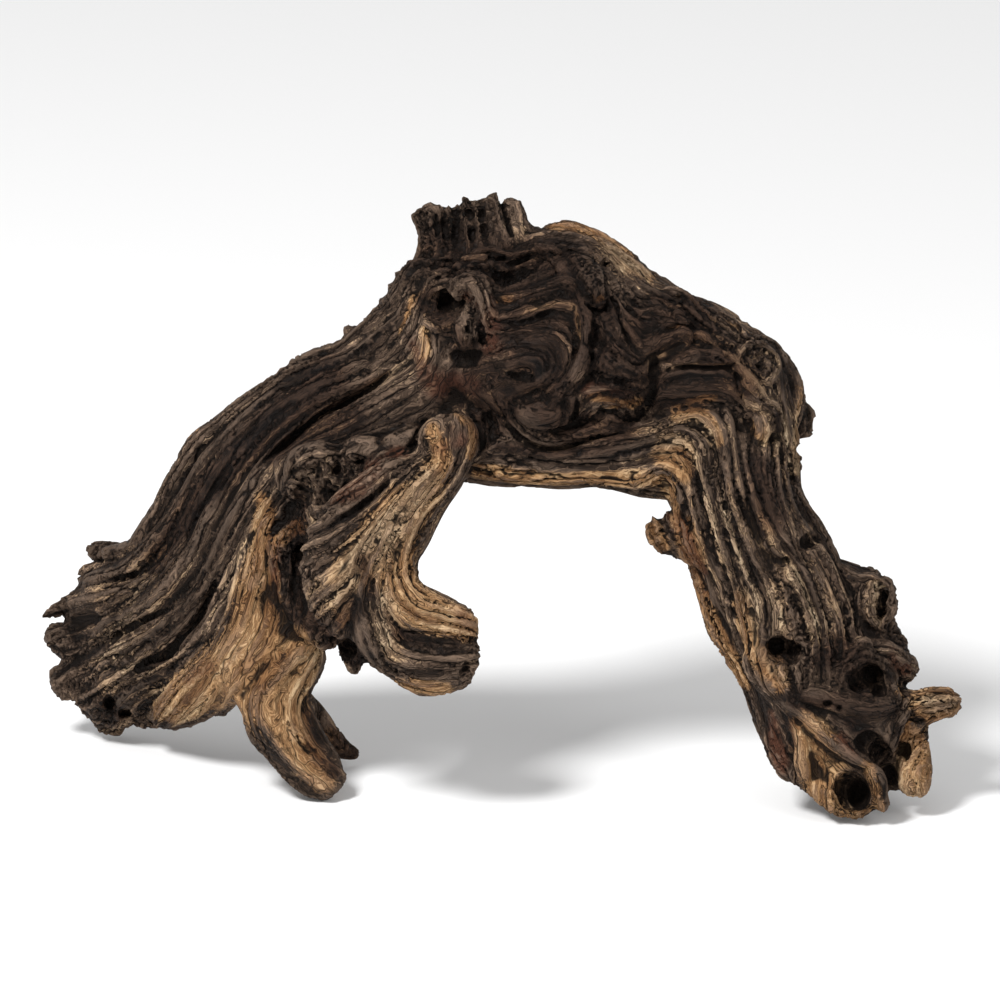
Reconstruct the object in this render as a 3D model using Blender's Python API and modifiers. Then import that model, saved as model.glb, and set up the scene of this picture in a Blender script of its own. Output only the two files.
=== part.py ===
"""Mopani driftwood: one weathered root piece that stands as an arch on three points.

The wood is drawn in a picture plane, seen from the front and a little above. Points there are
(x to the right, y down, depth away from the viewer) in picture units, and LENGTH gives them
their real size. Thick limbs carry the form, and strands of grain are laid over their surface.
"""

import math

import bmesh
import bpy
import numpy as np
from mathutils import Matrix, noise
from mathutils.kdtree import KDTree

# Driving dimensions, in metres
LENGTH = 0.352
VIEW_HEIGHT_ANGLE = math.radians(18.0)
VOXEL = 0.0011
CREASE_DEPTH = 0.0036
LUMP_DEPTH = 0.0011
LUMP_SIZE = 0.018
FLAT_DEPTH = 0.00025
TRIANGLES = 11600

# The picture plane: the columns of the wood's two ends and the row where the floor meets the front foot
PICTURE_LEFT = 34.0
PICTURE_RIGHT = 960.0
PICTURE_MIDDLE = 497.0
PICTURE_FLOOR = 817.0
UNIT = LENGTH / (PICTURE_RIGHT - PICTURE_LEFT)

# Steps along limbs and strands, and the curve's points between two given ones
LIMB_STEP = 4.0
STRAND_STEP = 3.0
CURVE_POINTS = 12

# Strands: how far they wander, how their radius varies, and how far their ends dive under the surface
SEED = 7
WANDER = 2.0
TURN_WANDER = 0.15
RADIUS_SPREAD = (0.75, 1.25)
RADIUS_WAVE = 0.18
FLOW_SINK = (0.0, 0.5)
WRAP_SINK = (0.1, 0.5)
END_SINK = 0.7
NEAR_POINTS = 5

# Round ends of limbs: how long the dome is, and the angles of its rings
DOME_REACH = 0.6
DOME_ANGLES = (25.0, 50.0, 72.0)

# Pegs that cut the holes: radius at each share of the depth
PEG_RADII = (1.0, 0.85, 0.55, 0.2)
PEG_DEPTHS = (0.0, 0.5, 0.85, 1.0)
PEG_MOUTH = 1.15

BARK_BROWN = (0.085, 0.060, 0.045, 1.0)

# Limbs: flatness in depth, then points of (x, y, depth, radius)
LIMBS = {
    "crown": (0.80, [(430, 285, -5, 48), (475, 325, -12, 78), (530, 352, -15, 86), (590, 352, -14, 82),
                     (650, 352, -8, 72), (710, 375, -2, 62), (748, 405, 2, 50)]),
    "crown_top": (0.85, [(455, 262, 5, 40), (510, 268, 2, 38), (560, 266, 0, 42), (610, 290, 0, 42),
                         (660, 322, 2, 36), (715, 352, 6, 38), (765, 392, 10, 34), (775, 430, 8, 24)]),
    "comb": (0.45, [(465, 280, 6, 50), (466, 255, 6, 50), (468, 232, 6, 46)]),
    "arch": (0.95, [(455, 430, -8, 48), (500, 440, -12, 43), (560, 443, -12, 41), (620, 444, -10, 41),
                    (670, 452, -8, 44), (700, 440, -6, 52)]),
    "left_high": (0.62, [(430, 300, -5, 46), (385, 362, 4, 42), (330, 405, 26, 40), (270, 445, 62, 44),
                         (215, 505, 112, 46), (160, 570, 165, 46), (104, 622, 212, 44), (66, 645, 246, 31)]),
    "left_low": (0.62, [(435, 385, -12, 50), (370, 430, 0, 48), (310, 475, 30, 48), (258, 530, 72, 50),
                        (212, 590, 122, 54), (165, 645, 175, 50), (118, 690, 226, 42), (90, 714, 264, 28)]),
    "left_under": (0.60, [(300, 520, 40, 44), (255, 590, 90, 48), (215, 650, 140, 44), (175, 690, 192, 32),
                          (146, 712, 234, 20)]),
    "mid_foot": (0.72, [(262, 545, 44, 20), (263, 600, 46, 34), (270, 655, 52, 46), (272, 700, 56, 40),
                        (292, 742, 59, 34), (318, 772, 60, 27), (332, 789, 59, 17)]),
    "mid_splinter": (0.8, [(256, 565, 26, 16), (258, 530, 24, 11), (262, 500, 28, 5)]),
    "mid_splinter_left": (0.8, [(250, 590, 36, 16), (246, 555, 34, 10), (246, 524, 38, 4)]),
    "back_stub": (0.8, [(285, 700, 90, 24), (318, 730, 120, 16), (340, 749, 140, 11), (356, 756, 150, 7)]),
    "ear": (0.80, [(448, 440, -40, 28), (425, 478, -56, 32), (392, 520, -64, 34), (374, 565, -66, 38),
                   (392, 614, -66, 44), (428, 648, -64, 42), (456, 650, -62, 39), (467, 650, -62, 37)]),
    "ear_left": (0.75, [(440, 440, -36, 26), (395, 478, -50, 34), (352, 525, -58, 38), (335, 575, -60, 35),
                        (342, 622, -60, 31), (355, 658, -58, 18)]),
    "ear_head": (0.85, [(430, 440, -50, 20), (452, 432, -56, 22), (460, 444, -56, 18)]),
    "knobs": (0.75, [(290, 478, 6, 30), (330, 468, -10, 34), (380, 455, -24, 32), (425, 450, -34, 26)]),
    "ear_root": (0.9, [(330, 500, 10, 40), (350, 560, -10, 38), (365, 600, -30, 30)]),
    "right_leg": (0.88, [(690, 440, -6, 52), (728, 488, -4, 60), (758, 545, -2, 62), (785, 600, -2, 62),
                         (808, 652, -2, 62), (832, 705, -2, 68), (848, 745, 0, 70), (858, 780, 0, 44)]),
    "right_edge": (0.8, [(770, 400, 0, 26), (775, 450, 0, 24), (782, 500, 2, 24), (806, 545, 4, 22)]),
    "inner_stub": (0.85, [(715, 535, -10, 28), (690, 536, -18, 22), (668, 532, -22, 18),
                          (656, 531, -24, 15)]),
    "side_stub": (0.85, [(835, 600, 8, 38), (862, 602, 2, 33), (882, 604, -4, 30)]),
    "side_lobe": (0.8, [(870, 640, 4, 34), (896, 664, 2, 24), (914, 668, 0, 13)]),
    "twig": (0.9, [(895, 712, 4, 26), (920, 706, 0, 18), (944, 703, -3, 15), (956, 703, -4, 12)]),
    "right_toe": (0.8, [(900, 720, 6, 26), (912, 760, 8, 21), (914, 788, 8, 15)]),
    "middle_toe": (0.8, [(850, 770, -6, 42), (858, 798, -4, 28), (864, 815, -2, 16)]),
    "back_toe": (0.9, [(845, 725, 30, 50), (854, 755, 68, 36), (862, 776, 88, 24), (866, 783, 95, 16)]),
    "left_toe": (0.8, [(800, 735, -4, 32), (796, 755, 0, 28), (815, 785, 2, 18)]),
    "back_flap": (0.8, [(785, 405, 26, 22), (802, 412, 30, 12), (815, 417, 32, 4)]),
    "back_flap_low": (0.8, [(788, 425, 28, 22), (803, 428, 30, 13), (812, 430, 32, 7)]),
    "top_knob": (0.9, [(368, 340, 10, 14), (352, 330, 8, 8), (345, 329, 8, 6)]),
    "left_tip": (0.9, [(110, 556, 205, 12), (90, 552, 212, 10), (80, 552, 214, 8)]),
    "top_lip": (0.8, [(545, 238, 0, 12), (566, 232, -2, 13), (590, 240, -2, 12), (622, 262, 0, 16)]),
    "top_scrap": (0.8, [(548, 246, -2, 8), (538, 236, -4, 5)]),
}

# Comb of broken strands on the crown: points of (x, y, depth, radius)
COMB = [
    [(424, 209, 2, 12), (430, 226, 0, 14), (432, 250, -6, 15), (424, 280, -14, 14)],
    [(446, 202, 0, 4), (449, 222, -2, 7), (449, 255, -10, 9)],
    [(454, 202, 8, 4), (457, 222, 4, 6), (459, 255, -10, 8)],
    [(464, 199, -2, 6), (467, 222, -4, 8), (470, 258, -14, 9)],
    [(477, 202, 0, 8), (481, 225, -4, 10), (486, 258, -14, 10)],
    [(492, 200, 2, 8), (500, 222, -2, 11), (510, 252, -12, 11)],
    [(512, 203, 4, 8), (519, 222, 2, 9), (529, 246, -4, 10)],
    [(434, 208, 18, 9), (440, 235, 20, 12), (440, 262, 20, 13)],
    [(484, 205, 18, 9), (490, 235, 20, 12), (496, 262, 20, 13)],
    [(508, 208, 16, 8), (516, 235, 18, 10), (524, 258, 18, 11)],
]

FRONT = (-1,)
BACK = (1,)
BOTH = (-1, 1)
LEFT_LIMBS = ("crown", "crown_top", "left_high", "left_low", "left_under")
CROWN_LIMBS = ("crown", "crown_top", "comb", "arch")
RIGHT_LIMBS = ("crown", "crown_top", "arch", "right_leg", "right_edge", "left_toe", "middle_toe")
EAR_LIMBS = ("ear", "ear_left", "ear_head")

# Flows of grain: how many strands, their radius, the sides they lie on, the limbs that carry them,
# and guide lines of (x, y) from one edge of the flow to the other
FLOWS = {
    "left_upper": (5, 8.0, BOTH, LEFT_LIMBS, [
        [(414, 262), (398, 298), (372, 326), (345, 350), (302, 367), (266, 392), (222, 422), (194, 446),
         (172, 482), (150, 522), (124, 549), (84, 556)],
        [(424, 285), (407, 325), (382, 350), (350, 368), (306, 386), (268, 412), (232, 448), (206, 488),
         (182, 535), (150, 577), (100, 606), (34, 620)],
        [(430, 310), (414, 348), (388, 368), (352, 386), (306, 405), (270, 433), (240, 468), (215, 512),
         (190, 558), (150, 605), (100, 638), (42, 660)]]),
    "left_lower": (7, 8.0, BOTH, LEFT_LIMBS, [
        [(444, 330), (428, 362), (395, 384), (352, 410), (306, 433), (275, 462), (248, 498), (222, 542),
         (194, 588), (154, 630), (106, 666), (42, 690)],
        [(450, 355), (434, 388), (402, 410), (356, 432), (312, 456), (284, 486), (258, 526), (234, 570),
         (206, 614), (168, 656), (120, 692), (60, 711)],
        [(454, 380), (440, 412), (402, 434), (356, 452), (318, 480), (292, 520), (268, 562), (248, 602),
         (220, 642), (180, 680), (138, 710), (96, 738)],
        [(445, 420), (400, 452), (352, 476), (320, 508), (300, 548), (280, 590), (256, 632), (228, 664),
         (200, 688), (172, 706), (150, 718), (136, 726)]]),
    "shoulder": (6, 7.0, FRONT, RIGHT_LIMBS, [
        [(462, 470), (520, 477), (580, 477), (628, 478), (652, 478), (668, 490), (676, 510)],
        [(475, 452), (520, 464), (575, 467), (622, 460), (656, 458), (684, 476), (694, 512)],
        [(505, 436), (545, 449), (585, 452), (625, 443), (662, 438), (696, 450), (712, 500)],
        [(600, 428), (630, 424), (665, 413), (695, 410), (722, 424), (738, 452), (745, 500)]]),
    "right_leg": (9, 7.5, BOTH, RIGHT_LIMBS, [
        [(672, 470), (680, 505), (688, 548), (704, 592), (718, 632), (738, 668), (754, 702), (768, 740)],
        [(694, 462), (702, 500), (714, 548), (728, 590), (740, 632), (756, 665), (770, 700), (782, 745)],
        [(716, 455), (730, 500), (748, 545), (764, 590), (778, 632), (790, 665), (806, 700), (816, 730)],
        [(742, 440), (752, 480), (766, 520), (786, 560), (804, 600), (820, 640), (834, 668), (846, 700)],
        [(770, 425), (778, 460), (788, 500), (806, 535), (826, 572), (842, 610), (858, 640), (876, 668)],
        [(788, 425), (793, 460), (798, 495), (816, 524), (836, 560), (856, 590), (872, 625), (890, 650)]]),
    "ear": (7, 6.5, BOTH, EAR_LIMBS, [
        [(468, 425), (462, 462), (442, 490), (420, 516), (404, 540), (402, 572), (412, 592), (440, 606),
         (474, 618)],
        [(452, 425), (444, 460), (424, 490), (402, 516), (388, 545), (388, 582), (404, 612), (436, 630),
         (480, 640)],
        [(438, 428), (424, 462), (402, 490), (380, 518), (368, 550), (370, 592), (388, 626), (424, 654),
         (478, 664)],
        [(426, 436), (400, 466), (376, 494), (354, 524), (344, 560), (348, 602), (366, 642), (402, 674),
         (468, 686)]]),
    "ear_left": (4, 6.0, BOTH, EAR_LIMBS, [
        [(420, 440), (392, 466), (362, 496), (338, 524), (324, 560), (328, 600), (342, 636), (360, 672)],
        [(405, 445), (372, 466), (340, 494), (316, 524), (305, 560), (310, 600), (322, 632), (345, 668)]]),
    "mid_foot": (5, 7.0, BOTH, ("mid_foot",), [
        [(252, 570), (240, 600), (232, 640), (228, 680), (236, 712), (254, 742), (280, 768), (318, 798)],
        [(262, 560), (266, 600), (270, 640), (268, 680), (272, 715), (290, 742), (310, 766), (328, 797)],
        [(274, 575), (292, 610), (308, 645), (306, 680), (300, 712), (312, 742), (332, 764), (338, 788)]]),
    "top_edge": (4, 7.0, BOTH, CROWN_LIMBS, [
        [(556, 236), (590, 246), (618, 262), (640, 288), (668, 300), (698, 314), (728, 334), (752, 352),
         (776, 382), (788, 420)],
        [(570, 262), (598, 270), (622, 284), (642, 304), (666, 322), (692, 334), (716, 350), (742, 376),
         (762, 402), (772, 430)]]),
    "bowl": (6, 7.0, FRONT, CROWN_LIMBS, [
        [(478, 296), (494, 314), (515, 319), (545, 312), (574, 294)],
        [(484, 328), (505, 334), (535, 332), (560, 334), (574, 346)],
        [(488, 352), (512, 350), (538, 346), (556, 352), (562, 368), (552, 386)],
        [(500, 374), (520, 368), (538, 366), (545, 374), (536, 386), (518, 394)]]),
    "small_bowl": (5, 6.0, FRONT, CROWN_LIMBS, [
        [(600, 258), (612, 280), (630, 296), (655, 300)],
        [(606, 280), (618, 304), (634, 318), (658, 316)],
        [(614, 306), (628, 334), (644, 346), (662, 338)]]),
    "band": (4, 7.5, FRONT, CROWN_LIMBS, [
        [(658, 382), (670, 373), (700, 371), (735, 375)],
        [(652, 402), (664, 392), (700, 388), (738, 394)],
        [(648, 422), (662, 405), (695, 400), (722, 404), (734, 420)]]),
    "crown_edge": (3, 6.0, FRONT, RIGHT_LIMBS, [
        [(745, 332), (766, 350), (782, 375), (790, 400), (797, 440), (800, 478)],
        [(738, 346), (756, 362), (770, 385), (780, 412), (788, 450), (792, 482)]]),
    "crown_back": (9, 9.0, BACK, CROWN_LIMBS, [
        [(440, 240), (500, 262), (560, 256), (620, 284), (680, 318), (740, 366), (780, 420)],
        [(410, 300), (470, 310), (540, 300), (610, 330), (670, 362), (720, 410), (755, 460)],
        [(400, 360), (460, 372), (530, 350), (590, 380), (650, 410), (690, 450), (720, 490)],
        [(420, 420), (480, 432), (540, 430), (600, 445), (650, 462), (680, 480), (695, 510)]]),
}

# Strands wrapped round the sides of a limb: radius, and their angles from the front to the limb's right
WRAPS = {
    "right_leg": (8.0, (-125, -98, -72, 70, 96, 122)),
    "crown_top": (8.0, (-118, -90, -64)),
    "left_high": (8.0, (-115, -85, -60)),
    "left_low": (8.0, (70, 100)),
    "left_under": (7.0, (64, 92, 120)),
    "arch": (7.5, (70, 96, 122, 150)),
    "ear": (7.0, (-120, -90, -60, 60, 90, 120)),
    "mid_foot": (6.5, (-115, -85, 80, 110)),
    "twig": (4.5, (-120, -60, 0, 60, 120, 180)),
    "side_stub": (6.0, (-130, -90, -50, 90)),
    "inner_stub": (5.0, (-100, -40, 20, 80, 140)),
}

# Single folds: radius, sink (part of the radius below the surface), points
FOLDS = {
    "comb_skirt": (9, 0.5, [(416, 264), (440, 264), (462, 264), (486, 260), (508, 258)]),
    "skirt_low": (9, 0.5, [(405, 290), (425, 278), (450, 275), (478, 269), (494, 272)]),
    "eye_brow": (10, 0.4, [(422, 316), (420, 298), (430, 284), (448, 280), (464, 288)]),
    "eye_cheek": (11, 0.4, [(418, 324), (434, 330), (450, 328), (463, 316), (470, 306)]),
    "eye_lid": (8, 0.1, [(454, 292), (466, 285), (480, 292), (488, 306)]),
    "rope": (10, 0.1, [(574, 288), (582, 316), (584, 344), (577, 370), (564, 390), (550, 402), (546, 414)]),
    "rope_right": (7, 0.2, [(588, 318), (591, 344), (588, 368), (578, 386)]),
    "lobe": (16, 0.3, [(574, 262), (586, 272), (593, 288), (597, 304)]),
    "lobe_left": (11, 0.5, [(562, 260), (560, 276), (550, 290)]),
    "lump_top": (14, 0.3, [(600, 322), (608, 338), (622, 350), (636, 362)]),
    "lump": (24, 0.4, [(606, 356), (620, 366), (636, 378)]),
    "lump_low": (10, 0.2, [(574, 396), (594, 387), (616, 387), (640, 397)]),
    "lump_lower": (9, 0.2, [(580, 414), (598, 404), (620, 404), (640, 412)]),
    "knot_lobe": (18, 0.4, [(518, 406), (542, 414), (562, 412)]),
    "knot_inner": (8, 0.2, [(566, 392), (573, 404), (569, 416), (556, 424)]),
    "knot_rim": (9, 0.2, [(510, 410), (524, 426), (546, 438), (572, 434), (600, 427), (630, 420)]),
    "gnarl_1": (8, 0.1, [(664, 308), (678, 302), (692, 312), (704, 326)]),
    "gnarl_2": (7, 0.1, [(660, 326), (676, 320), (690, 326), (702, 338)]),
    "gnarl_3": (8, 0.2, [(658, 342), (674, 336), (688, 340), (698, 352)]),
    "gnarl_4": (8, 0.2, [(700, 312), (718, 320), (734, 330), (744, 342)]),
    "gnarl_5": (9, 0.2, [(712, 330), (722, 338), (732, 346)]),
    "lip": (8, 0.0, [(670, 366), (686, 358), (702, 353), (718, 358), (730, 363)]),
    "swirl": (7, 0.1, [(748, 372), (748, 360), (758, 353), (770, 358), (773, 370), (766, 380), (754, 380)]),
    "swirl_out": (7, 0.3, [(740, 392), (738, 368), (744, 348), (762, 342), (778, 356), (784, 376)]),
    "swirl_tail": (9, 0.2, [(744, 396), (758, 402), (772, 410), (778, 420)]),
    "lozenge": (10, 0.2, [(758, 412), (762, 424), (760, 440)]),
    "edge_flap": (7, 0.0, [(786, 362), (795, 380), (795, 400), (792, 424)]),
    "knob_1": (12, 0.0, [(300, 462), (316, 456), (334, 452)]),
    "knob_2": (11, 0.0, [(338, 474), (354, 466), (372, 462)]),
    "knob_3": (9, 0.0, [(290, 486), (306, 488), (322, 498)]),
    "knob_4": (10, 0.0, [(380, 446), (398, 438), (418, 432)]),
    "knob_5": (8, 0.0, [(326, 498), (344, 494), (362, 486), (384, 470)]),
    "knob_6": (7, 0.0, [(310, 476), (326, 480), (344, 484)]),
    "head_arc": (7, 0.0, [(430, 474), (438, 452), (438, 434), (428, 424)]),
    "head_rim": (8, 0.0, [(450, 420), (464, 426), (472, 440), (472, 456), (462, 464)]),
    "stub_rim": (6, 0.0, [(650, 522), (654, 532), (662, 548)]),
    "foot_curl": (9, 0.2, [(746, 672), (764, 686), (786, 682), (802, 692), (812, 714)]),
    "foot_brow": (11, 0.3, [(806, 724), (830, 716), (856, 715), (880, 708), (904, 706)]),
    "foot_ring": (8, 0.1, [(846, 812), (840, 796), (844, 782), (856, 776), (868, 784), (872, 800),
                           (866, 816)]),
    "foot_wall": (8, 0.2, [(836, 726), (834, 750), (828, 772), (826, 792)]),
    "foot_wall_right": (9, 0.2, [(877, 716), (879, 744), (879, 772), (884, 800)]),
    "stub_rim_left": (7, 0.0, [(872, 580), (866, 600), (870, 622), (882, 634)]),
    "stub_rim_right": (7, 0.0, [(878, 576), (893, 584), (897, 604), (892, 626)]),
    "knot_ring": (7, 0.1, [(766, 652), (772, 638), (786, 636), (794, 648), (790, 664), (776, 666)]),
    "boss": (11, 0.1, [(850, 652), (860, 650), (866, 660)]),
    "tongue": (9, 0.0, [(760, 500), (768, 524), (778, 542)]),
    "hollow_rim": (6, 0.0, [(848, 690), (852, 674), (868, 668), (884, 674), (888, 688)]),
}

# Cracks and hollows cut back into the wood: radius, how deep its middle lies below the surface, points
CUTS = {
    "long_crack": (5.0, 2, [(412, 356), (398, 368), (370, 386), (335, 406), (300, 430), (272, 446),
                            (252, 462)]),
    "side_crack": (3.5, 1, [(236, 470), (214, 506), (192, 548), (160, 590)]),
    "hollow_vertical": (9.0, 2, [(303, 505), (300, 540), (296, 580), (300, 618)]),
    "ear_crack": (4.0, 1, [(396, 498), (384, 520), (372, 556), (364, 592), (358, 625)]),
    "ear_crack_right": (4.0, 1, [(392, 560), (392, 590), (402, 618), (412, 640)]),
    "ear_end_notch": (6.0, 0, [(462, 676), (470, 664), (478, 652)]),
    "head_gap": (4.0, 0, [(398, 440), (420, 424), (444, 412), (462, 410)]),
    "crown_hollow": (13.0, 4, [(496, 274), (512, 280), (532, 272), (550, 258)]),
    "under_comb": (4.0, 0, [(520, 252), (500, 262), (470, 266), (452, 272), (430, 286)]),
    "square_hollow": (9.0, 3, [(458, 354), (474, 352)]),
    "crease_low": (5.0, 0, [(496, 404), (512, 424), (534, 440), (560, 445), (590, 438), (620, 432),
                            (644, 424)]),
    "crease_lower": (3.5, 0, [(520, 446), (552, 454), (590, 447), (630, 438), (652, 430)]),
    "dark_pocket": (9.0, 1, [(486, 418), (494, 432), (488, 452)]),
    "dark_pocket_right": (9.0, 2, [(650, 384), (646, 404), (640, 424)]),
    "lump_crease": (4.5, 0, [(606, 286), (614, 312), (626, 338), (646, 352), (656, 362)]),
    "rope_crease": (3.5, 0, [(592, 306), (598, 330), (596, 356), (590, 380)]),
    "lip_crease": (4.5, 0, [(654, 376), (668, 370), (690, 367), (716, 368), (740, 362)]),
    "gnarl_pocket": (6.0, 1, [(690, 344), (704, 344), (720, 342)]),
    "comb_slit": (2.5, -6, [(501, 190), (503, 206), (508, 222), (512, 236)]),
    "leg_crease": (3.5, 0, [(748, 440), (746, 480), (758, 524), (782, 566), (800, 600), (814, 640)]),
    "leg_crease_right": (3.5, 0, [(776, 430), (782, 480), (798, 528), (806, 550)]),
    "side_seam": (4.0, 0, [(850, 576), (846, 606), (856, 636), (872, 644)]),
    "foot_slot": (6.0, 2, [(890, 722), (892, 748), (891, 775), (893, 802)]),
    "toe_seam": (4.0, 0, [(838, 730), (844, 752), (838, 776), (832, 798)]),
}

# Round holes of knots and rot: x, y, radius across, stretch upwards, depth
HOLES = [
    (447, 302, 11, 1.1, 22),
    (467, 331, 5, 1.2, 12),
    (759, 367, 4, 1.0, 10),
    (812, 541, 6, 1.2, 16),
    (887, 603, 9, 1.8, 26),
    (780, 650, 9, 1.0, 16),
    (867, 682, 12, 0.8, 22),
    (820, 703, 5, 1.0, 14),
    (833, 706, 4, 1.0, 12),
    (856, 797, 9, 1.4, 24),
    (906, 751, 4, 1.3, 12),
    (815, 799, 4, 0.8, 10),
    (356, 482, 7, 0.8, 12),
    (322, 466, 6, 0.8, 10),
    (392, 452, 6, 1.0, 10),
    (115, 712, 12, 0.7, 30),
    (466, 668, 6, 1.4, 10),
]


def clear_scene():
    for item in list(bpy.data.objects):
        bpy.data.objects.remove(item, do_unlink=True)


def to_local(points):
    """Picture points (x, y, depth) as (right, away, up) in picture units."""
    points = np.asarray(points, float)
    return np.stack([points[:, 0] - PICTURE_MIDDLE, points[:, 2], PICTURE_FLOOR - points[:, 1]], axis=1)


def picture_matrix(flatness=1.0):
    """Picture units to metres, tipped by the viewing angle, with the depth pressed by the flatness."""
    tip = Matrix.Rotation(-VIEW_HEIGHT_ANGLE, 4, "X")
    return Matrix.Scale(UNIT, 4) @ tip @ Matrix.Diagonal((1.0, flatness, 1.0, 1.0))


def smooth_line(points, step=LIMB_STEP):
    """Points at an even step along the Catmull-Rom curve through the given ones, all columns alike."""
    points = np.asarray(points, float)
    padded = np.vstack([2 * points[0] - points[1], points, 2 * points[-1] - points[-2]])
    fine = []
    for before, start, end, after in zip(padded, padded[1:], padded[2:], padded[3:]):
        t = np.linspace(0.0, 1.0, CURVE_POINTS, endpoint=False)[:, None]
        bend = (2 * before - 5 * start + 4 * end - after) * t**2
        twist = (3 * start - before - 3 * end + after) * t**3
        fine.append(0.5 * (2 * start + (end - before) * t + bend + twist))
    fine = np.vstack(fine + [points[-1:]])
    travelled = np.concatenate([[0.0], np.cumsum(np.linalg.norm(np.diff(fine[:, :2], axis=0), axis=1))])
    count = max(4, int(travelled[-1] / step) + 1)
    even = np.linspace(0.0, travelled[-1], count)
    return np.stack([np.interp(even, travelled, column) for column in fine.T], axis=1)


def limb_samples(names=tuple(LIMBS)):
    """The named limbs as spheres close together: columns x, y, depth, radius, flatness."""
    rows = []
    for name in names:
        flatness, points = LIMBS[name]
        line = smooth_line(points)
        rows.append(np.column_stack([line, np.full(len(line), flatness)]))
    return np.vstack(rows)


def surface_depth(samples, x, y, side):
    """Depth of the limbs' front (side -1) or back (side 1) surface at picture points."""
    away = np.hypot(x[:, None] - samples[:, 0], y[:, None] - samples[:, 1])
    radius = samples[:, 3]
    bulge = samples[:, 4] * np.sqrt(np.maximum(radius**2 - away**2, 0.0))
    inside = away < radius
    depth = np.where(inside, side * samples[:, 2] + bulge, -np.inf)
    nearest = np.argmin(away - radius, axis=1)
    found = np.max(depth, axis=1)
    return side * np.where(np.isfinite(found), found, side * samples[nearest, 2])


def lay_on(samples, line, radius, sink, side):
    """A picture line laid on the limbs' surface, as points of (x, y, depth)."""
    depth = surface_depth(samples, line[:, 0], line[:, 1], side)
    for _ in range(3):
        depth = np.convolve(np.pad(depth, 2, mode="edge"), np.ones(5) / 5.0, mode="valid")
    below = radius * (sink + END_SINK * (1.0 - swell(len(line), 0.2)))
    return np.column_stack([line[:, 0], line[:, 1], depth - side * below])


def swell(count, reach):
    """0 at both ends of a line, rising to 1 over the given share of its length."""
    t = np.linspace(0.0, 1.0, count)
    return np.sin(0.5 * math.pi * np.minimum(1.0, np.minimum(t, 1.0 - t) / reach))


def tapered(radius, count, ends=0.3, reach=0.3):
    """Radii along a strand, thinner at both ends."""
    return radius * (ends + (1.0 - ends) * swell(count, reach))


def wobble(rng, count, size, waves=4):
    """A smooth seeded wander of about the given size."""
    knots = rng.uniform(-1.0, 1.0, waves + 2)
    return size * np.interp(np.linspace(0.0, waves + 1, count), np.arange(waves + 2), knots)


def flow_strands(rng):
    """The strands of every flow, each as (points of x, y, depth; radii)."""
    strands = []
    for count, radius, sides, carriers, guides in FLOWS.values():
        samples = limb_samples(carriers)
        lines = [smooth_line(guide, STRAND_STEP) for guide in guides]
        size = max(len(line) for line in lines)
        lines = np.stack([stretched(line, size) for line in lines])
        for side in sides:
            for across in np.linspace(0.0, len(lines) - 1.0, count):
                low = min(int(across), len(lines) - 2)
                line = lines[low] + (lines[low + 1] - lines[low]) * (across - low)
                line = line + np.stack([wobble(rng, size, WANDER), wobble(rng, size, WANDER)], axis=1)
                own = radius * rng.uniform(*RADIUS_SPREAD)
                laid = lay_on(samples, line, own, rng.uniform(*FLOW_SINK), side)
                width = tapered(own, size, 0.6, 0.1) * (1.0 + wobble(rng, size, RADIUS_WAVE))
                strands.append((laid, width))
    return strands


def stretched(line, size):
    """The line with the given number of points."""
    old = np.linspace(0.0, 1.0, len(line))
    return np.stack([np.interp(np.linspace(0.0, 1.0, size), old, column) for column in line.T], axis=1)


def wrap_strands(rng):
    """Strands round the sides of the limbs, where the flows of the front and back don't reach."""
    strands = []
    for name, (radius, angles) in WRAPS.items():
        flatness, points = LIMBS[name]
        line = smooth_line(points)
        way = np.gradient(line[:, :2], axis=0)
        way /= np.linalg.norm(way, axis=1)[:, None]
        for angle in angles:
            turn = math.radians(angle) + wobble(rng, len(line), TURN_WANDER)
            reach = line[:, 3] - radius * rng.uniform(*WRAP_SINK)
            right = np.column_stack([-way[:, 1], way[:, 0]]) * (reach * np.sin(turn))[:, None]
            depth = line[:, 2] - flatness * reach * np.cos(turn)
            placed = np.column_stack([line[:, :2] + right, depth])
            width = tapered(radius, len(line), 0.5, 0.15) * (1.0 + wobble(rng, len(line), RADIUS_WAVE))
            strands.append((placed, width))
    return strands


def fold_strands(samples):
    strands = []
    for radius, sink, points in FOLDS.values():
        line = smooth_line(points, STRAND_STEP)
        strands.append((lay_on(samples, line, radius, sink, -1), tapered(radius, len(line))))
    return strands


def comb_strands():
    lines = [smooth_line(points, STRAND_STEP) for points in COMB]
    return [(line[:, :3], line[:, 3]) for line in lines]


def tube_mesh(name, strands, matrix):
    """A curve with one round tube for each strand, as one mesh in metres."""
    curve = bpy.data.curves.new(name, "CURVE")
    curve.dimensions = "3D"
    curve.bevel_depth = 1.0
    curve.bevel_resolution = 3
    curve.use_fill_caps = True
    for points, radii in strands:
        spline = curve.splines.new("POLY")
        spline.points.add(len(points) - 1)
        local = to_local(points)
        spline.points.foreach_set("co", np.column_stack([local, np.ones(len(local))]).ravel())
        spline.points.foreach_set("radius", np.asarray(radii, float))
    guide = bpy.data.objects.new(name, curve)
    bpy.context.scene.collection.objects.link(guide)
    bpy.context.view_layer.update()
    mesh = bpy.data.meshes.new_from_object(guide.evaluated_get(bpy.context.evaluated_depsgraph_get()))
    bpy.data.objects.remove(guide, do_unlink=True)
    mesh.transform(matrix)
    return mesh


def joined_object(name, meshes, collection):
    """The meshes as one object, with the caps' edges merged."""
    whole = bmesh.new()
    for mesh in meshes:
        whole.from_mesh(mesh)
        bpy.data.meshes.remove(mesh)
    bmesh.ops.remove_doubles(whole, verts=whole.verts, dist=1e-6)
    result = bpy.data.meshes.new(name)
    whole.to_mesh(result)
    whole.free()
    item = bpy.data.objects.new(name, result)
    collection.objects.link(item)
    return item


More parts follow.
